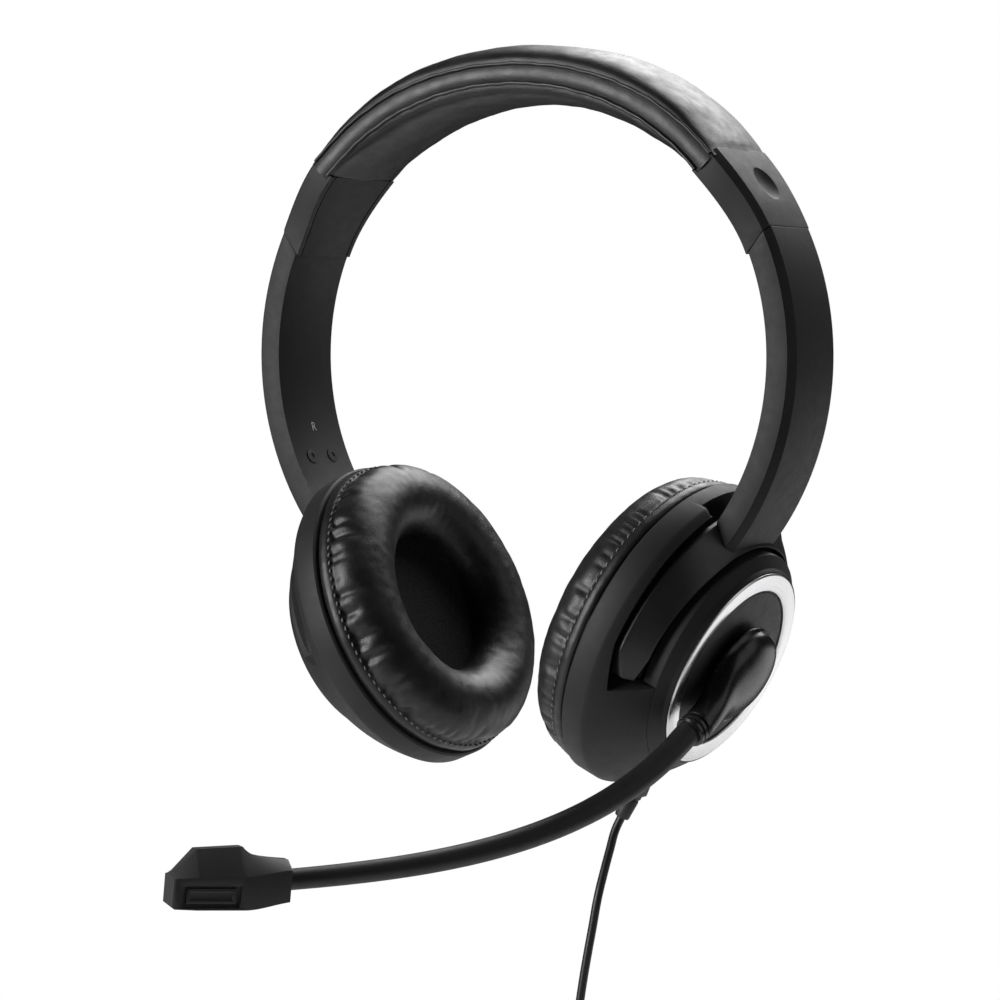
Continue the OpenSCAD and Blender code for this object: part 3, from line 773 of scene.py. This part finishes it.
def makeHousing():
    s = armShape
    half = s["topWidth"] / 2
    deep = s["inner"] - 0.7
    flat = half - s["chamfer"]
    groove = [(deep, half - 1.9), (deep + 0.4, half - 1.9), (deep + 0.4, half - 2.3), (deep, half - 2.3)]
    section = [(deep, -half), (s["frontEdge"], -half), (s["outer"], -flat), (s["outer"], flat)]
    section += [(s["frontEdge"], half), (deep, half)] + groove + [(r, -y) for r, y in reversed(groove)]
    piece = sweepArm("housingLeft", section, s["seamInner"] - 4, s["topAngle"] + 4)
    narrow = (s["width"] + 0.2) / s["topWidth"]
    for vert in piece.data.vertices:
        t = (angleOf(vert.co) - s["seamInner"] - 1) / (s["topAngle"] - s["seamInner"] - 1)
        vert.co.y *= narrow + (1 - narrow) * smoothStep(t)
        vert.co.y -= arch["forward"] * mm * smoothStep(t)
    point, normal = seamPlane()
    sliceOff(piece, point + normal * hairline * mm, -normal)
    end = armPlace(s["inner"], 0, s["topAngle"])
    up = Vector((-sin(radians(s["topAngle"])), 0, cos(radians(s["topAngle"]))))
    sliceOff(piece, end, up)
    # mouth that the crown goes into
    editAll(piece)
    bpy.ops.mesh.select_all(action="DESELECT")
    mesh = bmesh.from_edit_mesh(piece.data)
    mesh.faces.ensure_lookup_table()
    cap = max(mesh.faces, key=lambda f: f.calc_center_median().dot(up))
    cap.select_set(True)
    bmesh.update_edit_mesh(piece.data)
    bpy.ops.mesh.inset(thickness=0.75 * mm)
    bpy.ops.mesh.extrude_region_move(TRANSFORM_OT_translate={"value": up * -1.6 * mm})
    bpy.ops.object.mode_set(mode="OBJECT")
    # thumb dimple in the outer face
    deselectAll()
    bpy.ops.mesh.primitive_uv_sphere_add(segments=64, ring_count=40, radius=s["dimpleRadius"] * mm)
    ball = bpy.context.object
    middle = Matrix.Translation(armPlace(s["outer"] + s["dimpleOut"], 0, s["dimpleAngle"]))
    lean = Matrix.Rotation(radians(-s["dimpleAngle"]), 4, "Y")
    placeAt(ball, middle @ lean @ Matrix.Diagonal((1, 0.95, 1.1, 1)))
    cutAway(piece, ball)
    roundEdges(piece, 0.32, 3, 25)
    smoothShade(piece, 30)
    return piece


def makeArm():
    s = armShape
    half = s["width"] / 2
    flat = half - s["chamfer"]
    under, over = s["frontEdge"] - 0.05, s["frontEdge"] + hairline
    shell = [(s["inner"], -half), (under, -half), (under, half), (s["inner"], half)]
    cover = [(over, -half), (s["outer"], -flat), (s["outer"], flat), (over, half)]
    ballMiddle = cupMatrix @ Vector((0, 0, domeHeight * mm))
    ballRadius = (domeRadius - cupShape["legSink"] + hairline) * mm
    pieces = []
    point, normal = seamPlane()
    for name, section in (("armShellLeft", shell), ("armCoverLeft", cover)):
        piece = sweepArm(name, section, s["endAngle"], s["seamOuter"] + 4)
        sliceOff(piece, point - normal * hairline * mm, normal)
        deselectAll()
        bpy.ops.mesh.primitive_uv_sphere_add(segments=160, ring_count=90, radius=ballRadius, location=ballMiddle)
        cutAway(piece, bpy.context.object)
        roundEdges(piece, 0.28, 3, 25)
        smoothShade(piece, 30)
        pieces.append(piece)
    return pieces


def makeSideMark(letter, left):
    deselectAll()
    bpy.ops.object.text_add()
    mark = bpy.context.object
    mark.data.body = letter
    mark.data.size = armShape["markSize"] * mm
    mark.data.align_x = "CENTER"
    mark.data.align_y = "CENTER"
    mark.data.extrude = 0.02 * mm
    bpy.ops.object.convert(target="MESH")
    mark = nameIt("sideMark" + letter)
    place = armPlace(armShape["inner"] - 0.02, 0, armShape["markAngle"])
    a = radians(armShape["markAngle"])
    inwardDir = Vector((-cos(a), 0, -sin(a)))
    upDir = Vector((-sin(a), 0, cos(a)))
    acrossDir = upDir.cross(inwardDir)
    if not left:
        place.x = -place.x
        inwardDir.x = -inwardDir.x
        upDir.x = -upDir.x
        acrossDir = upDir.cross(inwardDir)
    matrix = Matrix((acrossDir, upDir, inwardDir)).transposed().to_4x4()
    matrix.translation = place
    placeAt(mark, matrix)
    dress(mark, "satin_plastic", printInk)
    return mark


def makeHeadbandSides():
    pieces = [makeHousing()] + makeArm()
    for word in ("left", "right"):
        if word == "right":
            pieces = [mirrored(piece, piece.name.replace("Left", "Right")) for piece in pieces]
        bodies = ("headband", "arm_" + word, "arm_" + word)
        nodes = ("housing_outer_" + word, "arm_inner_" + word, "arm_outer_" + word)
        for piece, body, node in zip(pieces, bodies, nodes):
            dress(piece, "satin_plastic")
            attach(piece, body)
            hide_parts(node)
        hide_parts("housing_inner_" + word)
        mark = makeSideMark(word[0].upper(), word == "left")
        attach(mark, "arm_" + word)


makeHeadbandSides()
print("housings and arms made")


# ---------- ear cups ----------

def domeArc(low, high, count):
    radii = [low + (high - low) * k / count for k in range(count + 1)]
    return [(r, domeAt(r)) for r in radii]


def legStations(end):
    # degrees round the cup from its top, closer together at the cut ends
    turns = [end - 10, end - 7.5, end - 5, end - 2.5, end]
    return [-t for t in reversed(turns)] + [i * (end - 10) / 24 for i in range(-23, 24)] + turns


def ringAt(turn, low, high, bottom, top):
    a = radians(turn) + pi
    radii = [low + (high - low) * k / 6 for k in range(7)]
    section = [(r, top(r)) for r in radii] + [(high, bottom), (low, bottom)]
    return [Vector((r * cos(a) * mm, r * sin(a) * mm, s * mm)) for r, s in section]


def legRings():
    # the yoke's two legs, slimmer towards their cut ends
    c = cupShape
    rings = []
    for turn in legStations(c["legEnd"]):
        past = max(0, abs(turn) - (c["legEnd"] - 10)) / 10
        low = c["legInner"] + c["legTaper"] * smoothStep((abs(turn) - 30) / 60) + 1.1 * past
        high = c["legOuter"] - 1.7 * past
        rings.append(ringAt(turn, low, high, c["legBottom"], lambda r: domeAt(r, c["legSink"])))
    return rings


def recessRings():
    # the recess the legs lie in, with a point at each outer corner
    c = cupShape
    rings = []
    for turn in legStations(c["legEnd"] + 6):
        past = max(0, abs(turn) - c["legEnd"] - 1) / 5
        high = c["recessOut"] - 1.3 * max(0, min(1, (abs(turn) - c["legEnd"] + 12) / 18))
        low = c["bossRadius"] - 0.2 + (high - c["bossRadius"] - 0.4) * past
        rings.append(ringAt(turn, low, high, c["recessFloor"], lambda r: 2.0))
    return rings


def makeCupHousing():
    c = cupShape
    boss, rim = c["bossRadius"], c["cupRadius"]
    back, inside = c["backHeight"], -20.4
    outline = domeArc(boss + hairline, rim - 0.19, 18)
    outline += [(rim, c["rimHeight"] - 0.3), (rim, back + 0.5), (rim - 0.5, back), (rim - 2, back), (rim - 2, inside)]
    outline += [(boss - 2.4, inside), (boss - 2.4, -9), (boss + hairline, -9)]
    housing = turnOnLathe("cupHousingLeft", outline, 192)
    cutter = loft("recessCutter", recessRings())
    cutAway(housing, cutter)
    # slot in the rim where the arm passes
    middle = (-rim, -ringMiddle.y / mm, c["recessFloor"] + 10)
    cutAway(housing, makeBox("armSlot", middle, (9, armShape["width"] + 3, 20)))
    roundEdges(housing, 0.22, 2, 28)
    smoothShade(housing, 28)
    return housing


def makeYoke():
    yoke = loft("yokeLeft", legRings())
    roundEdges(yoke, 0.35, 2, 28)
    smoothShade(yoke, 28)
    return yoke


def makeCap():
    c = cupShape
    boss, brow, ring = c["bossRadius"], c["browRadius"], c["ringRadius"]
    outline = [(ring + 0.05, -2.2), (ring + 0.05, -1.0), (ring + 0.35, -0.8)]
    outline += domeArc(brow, boss - hairline, 6) + [(boss - hairline, -8), (18, -8), (18, -2.2)]
    cap = turnOnLathe("cupCapLeft", outline, 192)
    roundEdges(cap, 0.12, 2, 28)
    smoothShade(cap, 28)
    return cap


def makeRing():
    outer = cupShape["ringRadius"]
    inner = outer - cupShape["ringWidth"]
    outline = [(outer, -2.0), (outer, -0.75), (outer - 0.4, -0.4), (inner + 0.25, -0.5), (inner, -0.7), (inner, -2.0)]
    ring = turnOnLathe("cupRingLeft", outline, 192)
    roundEdges(ring, 0.12, 2, 20)
    smoothShade(ring, 30)
    return ring


def makeDisc():
    inner = cupShape["ringRadius"] - cupShape["ringWidth"]
    outline = [(0, -0.95), (inner - 0.7, -0.95), (inner - 0.35, -1.25), (inner - 0.05, -1.25)]
    outline += [(inner - 0.05, -2.6), (0, -2.6)]
    disc = turnOnLathe("cupDiscLeft", outline, 144)
    roundEdges(disc, 0.1, 2, 28)
    smoothShade(disc, 28)
    return disc


def makeRigidCupParts():
    parts = [
        (makeCupHousing(), "cup_housing_", "cup_", "satin_plastic", None),
        (makeYoke(), "yoke_", "arm_", "satin_plastic", domePlastic),
        (makeCap(), "cup_cap_", "cup_", "gloss_plastic", finishes["satin_plastic"]),
        (makeRing(), "cup_ring_", "cup_", "brushed_ring", None),
        (makeDisc(), "cup_disc_", "cup_", "dark_plastic", None)]
    pieces = {"left": [part[0] for part in parts]}
    pieces["right"] = [copyOf(piece, piece.name.replace("Left", "RightSpare")) for piece in pieces["left"]]
    for word in ("left", "right"):
        for piece, (_, node, body, slotName, material) in zip(pieces[word], parts):
            placeAt(piece, cupPlaces[word])
            dress(piece, slotName, material)
            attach(piece, body + word)
            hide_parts(node + word)


makeRigidCupParts()
print("cups made")


# ---------- ear cushions ----------

cushionShape = dict(middle=28.8, height=-26.0, tube=9.8, skirt=39.3, around=480, pleats=72, stitches=110)


def cushionOutline():
    c = cushionShape
    skirt = c["skirt"]
    outline = [(38.2, -22.95), (39.0, -23.0), (skirt + 0.2, -23.4), (skirt + 0.35, -24.3)]
    outline += [(skirt + 0.2, -25.3), (skirt - 0.2, -26.0), (38.6, -26.4)]
    for k in range(31):
        a = radians(4 + 176 * k / 30)
        outline.append((c["middle"] + c["tube"] * cos(a), c["height"] - 0.5 - c["tube"] * sin(a) * 0.98))
    outline += [(18.7, -25.3), (19.6, -24.75), (26, -24.7), (33, -23.9)]
    return outline


def pleatDepth(around, down, pleats):
    # a gathered fold runs from the seam towards the face and fades out
    total = 0
    for where, depth, reach, wide in pleats:
        turn = (around - where + pi) % (2 * pi) - pi
        across = turn * 39
        if abs(across) < 4 * wide and down < reach:
            fade = (1 - down / reach) ** 0.8 * min(1, 0.35 + down / 1.6)
            total -= depth * exp(-(across / wide) ** 2) * fade
    return total


def outOfTube(co):
    # direction away from the middle of the padded tube, for a point in millimetres
    c = cushionShape
    radius = hypot(co.x, co.y)
    level = Vector((co.x / radius, co.y / radius, 0)) * (radius - c["middle"])
    return (level + Vector((0, 0, co.z - c["height"]))).normalized()


def makeCushion(name, seed, word):
    c = cushionShape
    random.seed(seed)
    cushion = turnOnLathe(name, cushionOutline(), c["around"])
    inHole = lambda co: hypot(co.x, co.y) < 19.9 * mm and co.z > -25.9 * mm
    held = lambda co: co.z > -26.45 * mm or inHole(co)
    pleats = []
    for k in range(c["pleats"]):
        where = 2 * pi * (k + random.uniform(-0.6, 0.6)) / c["pleats"]
        size = random.random()
        pleats.append((where, 0.35 + 1.3 * size * size, 2.5 + 8.0 * size * random.random(), 0.45 + 0.9 * size))
    for vert in cushion.data.vertices:
        co = vert.co / mm
        radius = hypot(co.x, co.y)
        if co.z < -26.25 and radius > c["middle"] - 4:
            down = c["tube"] * atan2(c["height"] - co.z, radius - c["middle"])
            bulge = 0.35 * smoothStep(down / 3) * smoothStep((12 - down) / 8)
            push = pleatDepth(atan2(co.y, co.x), max(0, down - 0.5), pleats) + bulge
            vert.co += outOfTube(co) * push * mm
    inflate(cushion, held, 2.5, 0.9, frames=14, bending=0.15)
    for vert in cushion.data.vertices:
        co = vert.co / mm
        if hypot(co.x, co.y) > 19.5:
            broad = noise.noise(Vector((co.x, co.y, co.z + seed)) * 0.11)
            sag = 0.22 * broad + 0.09 * noise.noise(co * 0.42)
            vert.co += outOfTube(co) * sag * mm
    smoothShade(cushion, 70)
    placeAt(cushion, cupPlaces[word])
    dress(cushion, "leatherette")
    return cushion


def makeStitches(name, word):
    # one short thread, copied round the seam by a spin
    c = cushionShape
    deselectAll()
    bpy.ops.mesh.primitive_uv_sphere_add(segments=8, ring_count=6, radius=1, location=(0, 0, 0))
    piece = nameIt(name)
    piece.scale = (0.26 * mm, 0.62 * mm, 0.24 * mm)
    piece.location = ((c["skirt"] - 0.15) * mm, 0, -26.05 * mm)
    piece.rotation_euler = (radians(14), 0, 0)
    bpy.ops.object.transform_apply(location=True, rotation=True, scale=True)
    editAll(piece)
    bpy.ops.mesh.spin(steps=c["stitches"], angle=2 * pi, center=(0, 0, 0), axis=(0, 0, 1), dupli=True)
    bpy.ops.object.mode_set(mode="OBJECT")
    smoothShade(piece, 80)
    placeAt(piece, cupPlaces[word])
    # the thread's light grey colour is a painted highlight
    dress(piece, "leatherette", threadPaintedHighlight)
    return piece


for word, seed in (("left", 3), ("right", 8)):
    cushion = makeCushion("earCushion" + word.capitalize(), seed, word)
    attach(cushion, "cup_" + word)
    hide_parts("ear_cushion_" + word)
    stitches = makeStitches("cushionStitches" + word.capitalize(), word)
    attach(stitches, "cup_" + word)
print("cushions made")


# ---------- boom and microphone ----------

hubShape = dict(
    round=12.5, shoulder=3.2, length=23, drop=28, height=7.2, neckHeight=5.5, neckRadius=4.1, lip=1.9, inset=0.9)
boomShape = dict(
    collar=3.0, rootRadius=3.1, tipRadius=2.4, lead=(-6.4, -30, -21.7), trail=(20.4, 36, 0),
    end=(-45.6, -121, -39), pitch=4.6)


def hubWidth(x):
    h = hubShape
    if x < h["shoulder"]:
        return sqrt(max(0.0, h["round"] ** 2 - x * x))
    t = (x - h["shoulder"]) / (h["length"] - h["shoulder"])
    wide = sqrt(h["round"] ** 2 - h["shoulder"] ** 2)
    return wide + (h["neckRadius"] - wide) * (0.25 * t + 0.75 * smoothStep(t) ** 1.2)


def makeHub():
    h = hubShape
    rings = []
    steps = [-h["round"] * cos(radians(6 + 84 * k / 12)) for k in range(12)]
    steps += [h["length"] * k / 20 for k in range(21)]
    for x in steps:
        blend = smoothStep((x - 7) / (h["length"] - 7))
        wide = max(hubWidth(x), 0.9)
        roundEnd = sqrt(max(0.0, 1 - (min(x, 0) / h["round"]) ** 2))
        top = h["lip"] + (h["height"] - h["lip"]) * roundEnd ** 0.75
        section = [(-wide, 0.12), (-wide, h["lip"] - 0.5), (-wide + 0.25, h["lip"])]
        inner = max(wide - h["inset"], 0.4)
        for k in range(17):
            t = pi * k / 16
            section.append((-inner * cos(t), h["lip"] + 0.35 + (top - h["lip"] - 0.35) * sin(t) ** 0.9))
        section += [(wide - 0.25, h["lip"]), (wide, h["lip"] - 0.5), (wide, 0.12)]
        count = len(section)
        ring = []
        for k, (y, s) in enumerate(section):
            turn = pi * (1.7 * k / (count - 1) - 0.35)
            across = y * (1 - blend) - h["neckRadius"] * cos(turn) * blend
            rise = s * (1 - blend) + (h["neckHeight"] + h["neckRadius"] * sin(turn)) * blend
            ring.append(Vector((x * mm, across * mm, rise * mm)))
        rings.append(ring)
    hub = loft("boomHub", rings)
    useModifier(hub, "SUBSURF", levels=1, render_levels=1)
    smoothShade(hub, 50)
    return placeAt(hub, cupMatrix @ Matrix.Rotation(radians(-90 + h["drop"]), 4, "Z"))


def neckPoint(out):
    h = hubShape
    drop = radians(h["drop"])
    return cupPoint(out * sin(drop), -out * cos(drop), h["neckHeight"])


def boomPoint(t):
    start = neckPoint(hubShape["length"] + boomShape["collar"] + 1.2)
    ring = Vector((ringMiddle.x, 0, ringMiddle.z))
    end = ring + Vector(boomShape["end"]) * mm
    lead = start + Vector(boomShape["lead"]) * mm
    trail = end + Vector(boomShape["trail"]) * mm
    return start * (1 - t) ** 3 + lead * 3 * t * (1 - t) ** 2 + trail * 3 * t * t * (1 - t) + end * t ** 3


def tubeRings(points, radii, sides):
    rings = []
    for i, point in enumerate(points):
        ahead = points[min(i + 1, len(points) - 1)] - points[max(i - 1, 0)]
        ahead.normalize()
        side = ahead.cross(Vector((0, 0, 1))).normalized()
        up = side.cross(ahead)
        ring = []
        for k in range(sides):
            turn = 2 * pi * k / sides
            ring.append(point + (side * cos(turn) + up * sin(turn)) * radii[i] * mm)
        rings.append(ring)
    return rings


def makeBoomTube():
    count = 90
    b = boomShape
    radii = [b["rootRadius"] + (b["tipRadius"] - b["rootRadius"]) * i / count for i in range(count + 1)]
    route = [neckPoint(hubShape["length"] + b["collar"])] + [boomPoint(i / (count - 1)) for i in range(count)]
    tube = loft("boomTube", tubeRings(route, radii, 24))
    smoothShade(tube, 40)
    return tube


def makeCollar():
    # ring round the hub's neck, with a fine groove
    outline = [(0, 0.02), (3.75, 0.02), (4.0, 0.25), (4.0, 1.1), (3.6, 1.25)]
    outline += [(3.6, 1.5), (3.95, 1.65), (3.95, 2.5), (3.6, 2.96), (0, 2.96)]
    collar = turnOnLathe("boomCollar", outline, 64)
    smoothShade(collar, 30)
    start, end = neckPoint(hubShape["length"]), neckPoint(hubShape["length"] + 1)
    turn = Vector((0, 0, 1)).rotation_difference(end - start).to_matrix().to_4x4()
    return placeAt(collar, Matrix.Translation(start) @ turn)


micShape = dict(
    length=27.7, halfWidth=4.5, neckTop=4.7, top=7.5, shoulderAt=11.4, endSkew=0.15, endFrom=25,
    slot=(12.1, 26.3, -5.6, -0.4))


def micStations():
    # along the capsule: low edge, ridge, top and half width
    m = micShape
    stations = []
    for x in (0.2, 0.6, 2.5, 4.5, 6.5, 8.0, 9.0, 9.8, 10.5, 11.0, m["shoulderAt"]):
        rise = (m["top"] - m["neckTop"] - 0.05 * x) * exp((x - m["shoulderAt"]) / 1.9)
        low = -4.2 - 1.9 * smoothStep((x + 2) / 13)
        edge = 2.8 - 1.5 * smoothStep((x + 1) / 13)
        stations.append((x, low, edge, m["neckTop"] + 0.05 * x + rise, 4.0 + 0.045 * x))
    stations += [(12.2, -6.1, 1.25, m["top"], m["halfWidth"]), (22.4, -6.1, 1.0, 6.9, m["halfWidth"])]
    stations += [(m["length"] - 0.6, -5.9, 0.8, 1.9, 4.4), (m["length"], -5.5, 0.7, 1.2, 4.15)]
    return stations


def micMatrix():
    along = -Vector(boomShape["trail"]).normalized()
    turn = Matrix.Rotation(atan2(along.y, along.x), 4, "Z")
    matrix = turn @ Matrix.Rotation(radians(-boomShape["pitch"]), 4, "Y")
    matrix.translation = boomPoint(1)
    return matrix


def slotBox(name, out, deep, narrower, lower):
    x0, x1, z0, z1 = micShape["slot"]
    middle = ((x0 + x1) / 2, micShape["halfWidth"] + out, (z0 + z1) / 2)
    return makeBox(name, middle, (x1 - x0 - narrower, deep, z1 - z0 - lower))


def makeMicBody():
    rings = []
    for x, low, edge, top, wide in micStations():
        section = [(-wide, low), (-wide, edge), (-1.2, top), (1.2, top), (wide, edge), (wide, low)]
        skew = micShape["endSkew"] if x > micShape["endFrom"] else 0
        rings.append([Vector(((x + skew * y) * mm, y * mm, s * mm)) for y, s in section])
    body = loft("micBody", rings)
    block = slotBox("slotCutter", 0.3, 2.0, 0, 0)
    roundEdges(block, 0.5, 3)
    cutAway(body, block)
    roundEdges(body, 0.35, 3, 22)
    smoothShade(body, 30)
    return placeAt(body, micMatrix())


def makeMicGrille():
    # raised frame and floor inside the slot
    grille = slotBox("micGrille", -0.68, 0.9, 2.4, 1.8)
    editAll(grille)
    bpy.ops.mesh.select_all(action="DESELECT")
    mesh = bmesh.from_edit_mesh(grille.data)
    face = max(mesh.faces, key=lambda f: f.normal.y)
    face.select_set(True)
    bmesh.update_edit_mesh(grille.data)
    bpy.ops.mesh.inset(thickness=0.8 * mm)
    bpy.ops.mesh.extrude_region_move(TRANSFORM_OT_translate={"value": (0, -0.3 * mm, 0)})
    bpy.ops.object.mode_set(mode="OBJECT")
    roundEdges(grille, 0.2, 3)
    smoothShade(grille, 30)
    return placeAt(grille, micMatrix())


for piece, slotName, nodes, material in (
        (makeHub(), "gloss_plastic", ("boom_hub",), None),
        (makeCollar(), "gloss_plastic", ("boom_collar",), None),
        (makeBoomTube(), "soft_rubber", ("boom_tube",), None),
        (makeMicBody(), "dark_plastic", ("mic_front", "mic_back"), micPlastic),
        (makeMicGrille(), "dark_plastic", (), micPlastic)):
    dress(piece, slotName, material)
    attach(piece, "boom")
    if nodes:
        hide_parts(*nodes)
print("boom made")


# ---------- cord exit -------------------

def makeStrainRelief():
    r = reliefSettings
    outline = [(0, -1.4), (2.3, -1.4), (2.3, 0.9), (2.0, 1.1), (2.0, 1.5)]
    outline += [(2.15, 1.7), (1.95, 6.6), (1.75, 7.0), (0, 7.0)]
    boot = turnOnLathe("strainRelief", outline, 48)
    roundEdges(boot, 0.12, 2, 28)
    smoothShade(boot, 30)
    start = cupPoint(r["out"], r["side"], r["height"])
    turn = Vector((0, 0, 1)).rotation_difference(reliefTip() - start).to_matrix().to_4x4()
    return placeAt(boot, Matrix.Translation(start) @ turn)


relief = makeStrainRelief()
dress(relief, "soft_rubber")
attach(relief, "cup_left")
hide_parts("strain_relief")
nodes = frame["nodes"]
print("cord exit made")


# ---------- floor and studio light ----------

studio = dict(floor=-0.36, size=0.8, world=0.02, background=1.0)


def makeStudio():
    # the camera sees a white surround, but only a dim one lights the headset
    deselectAll()
    bpy.ops.mesh.primitive_plane_add(size=studio["size"], location=(0, 0, studio["floor"]))
    floor = nameIt("floor")
    material, shader = startMaterial("pale floor", (0.84, 0.84, 0.84), 0.6, specular=0.2)
    place = objectPlace(material)
    tint(material, shader, noiseOf(material, place, 3, 2), (0.82, 0.82, 0.82), (0.86, 0.86, 0.86))
    floor.data.materials.append(material)
    world = bpy.data.worlds.new("studio")
    bpy.context.scene.world = world
    world.use_nodes = True
    nodeTree = world.node_tree
    background = nodeTree.nodes["Background"]
    seen = nodeTree.nodes.new("ShaderNodeBackground")
    for node, strength in ((background, studio["world"]), (seen, studio["background"])):
        node.inputs["Color"].default_value = (1, 1, 1, 1)
        node.inputs["Strength"].default_value = strength
    path = nodeTree.nodes.new("ShaderNodeLightPath")
    mix = nodeTree.nodes.new("ShaderNodeMixShader")
    nodeTree.links.new(path.outputs["Is Camera Ray"], mix.inputs[0])
    nodeTree.links.new(background.outputs[0], mix.inputs[1])
    nodeTree.links.new(seen.outputs[0], mix.inputs[2])
    nodeTree.links.new(mix.outputs[0], nodeTree.nodes["World Output"].inputs["Surface"])


lamps = [
    dict(name="key", place=(-0.6, -0.95, 0.15), aim=(0, 0, -0.1), size=(0.6, 0.9), power=15),
    dict(name="overhead", place=(-0.05, 0.75, 0.75), aim=(0.02, 0, -0.02), size=(0.9, 0.9), power=15),
    dict(name="side", place=(0.42, 0.1, 0.02), aim=(0.07, 0, -0.08), size=(0.25, 0.4), power=0.2),
    dict(name="ring", place=(0.4, 1.0, -0.55), aim=(0.06, 0, -0.14), size=(0.7, 0.7), power=1.8),
]


def addLamp(lamp):
    light = bpy.data.lights.new(lamp["name"], "AREA")
    light.shape = "RECTANGLE"
    light.size, light.size_y = lamp["size"]
    light.energy = lamp["power"]
    holder = bpy.data.objects.new(lamp["name"], light)
    bpy.context.scene.collection.objects.link(holder)
    holder.location = lamp["place"]
    holder.visible_camera = False
    aim = Vector(lamp["aim"]) - Vector(lamp["place"])
    holder.rotation_euler = aim.to_track_quat("-Z", "Y").to_euler()


bpy.context.scene.view_settings.view_transform = "Standard"
makeStudio()
for lamp in lamps:
    addLamp(lamp)
print("studio lit")
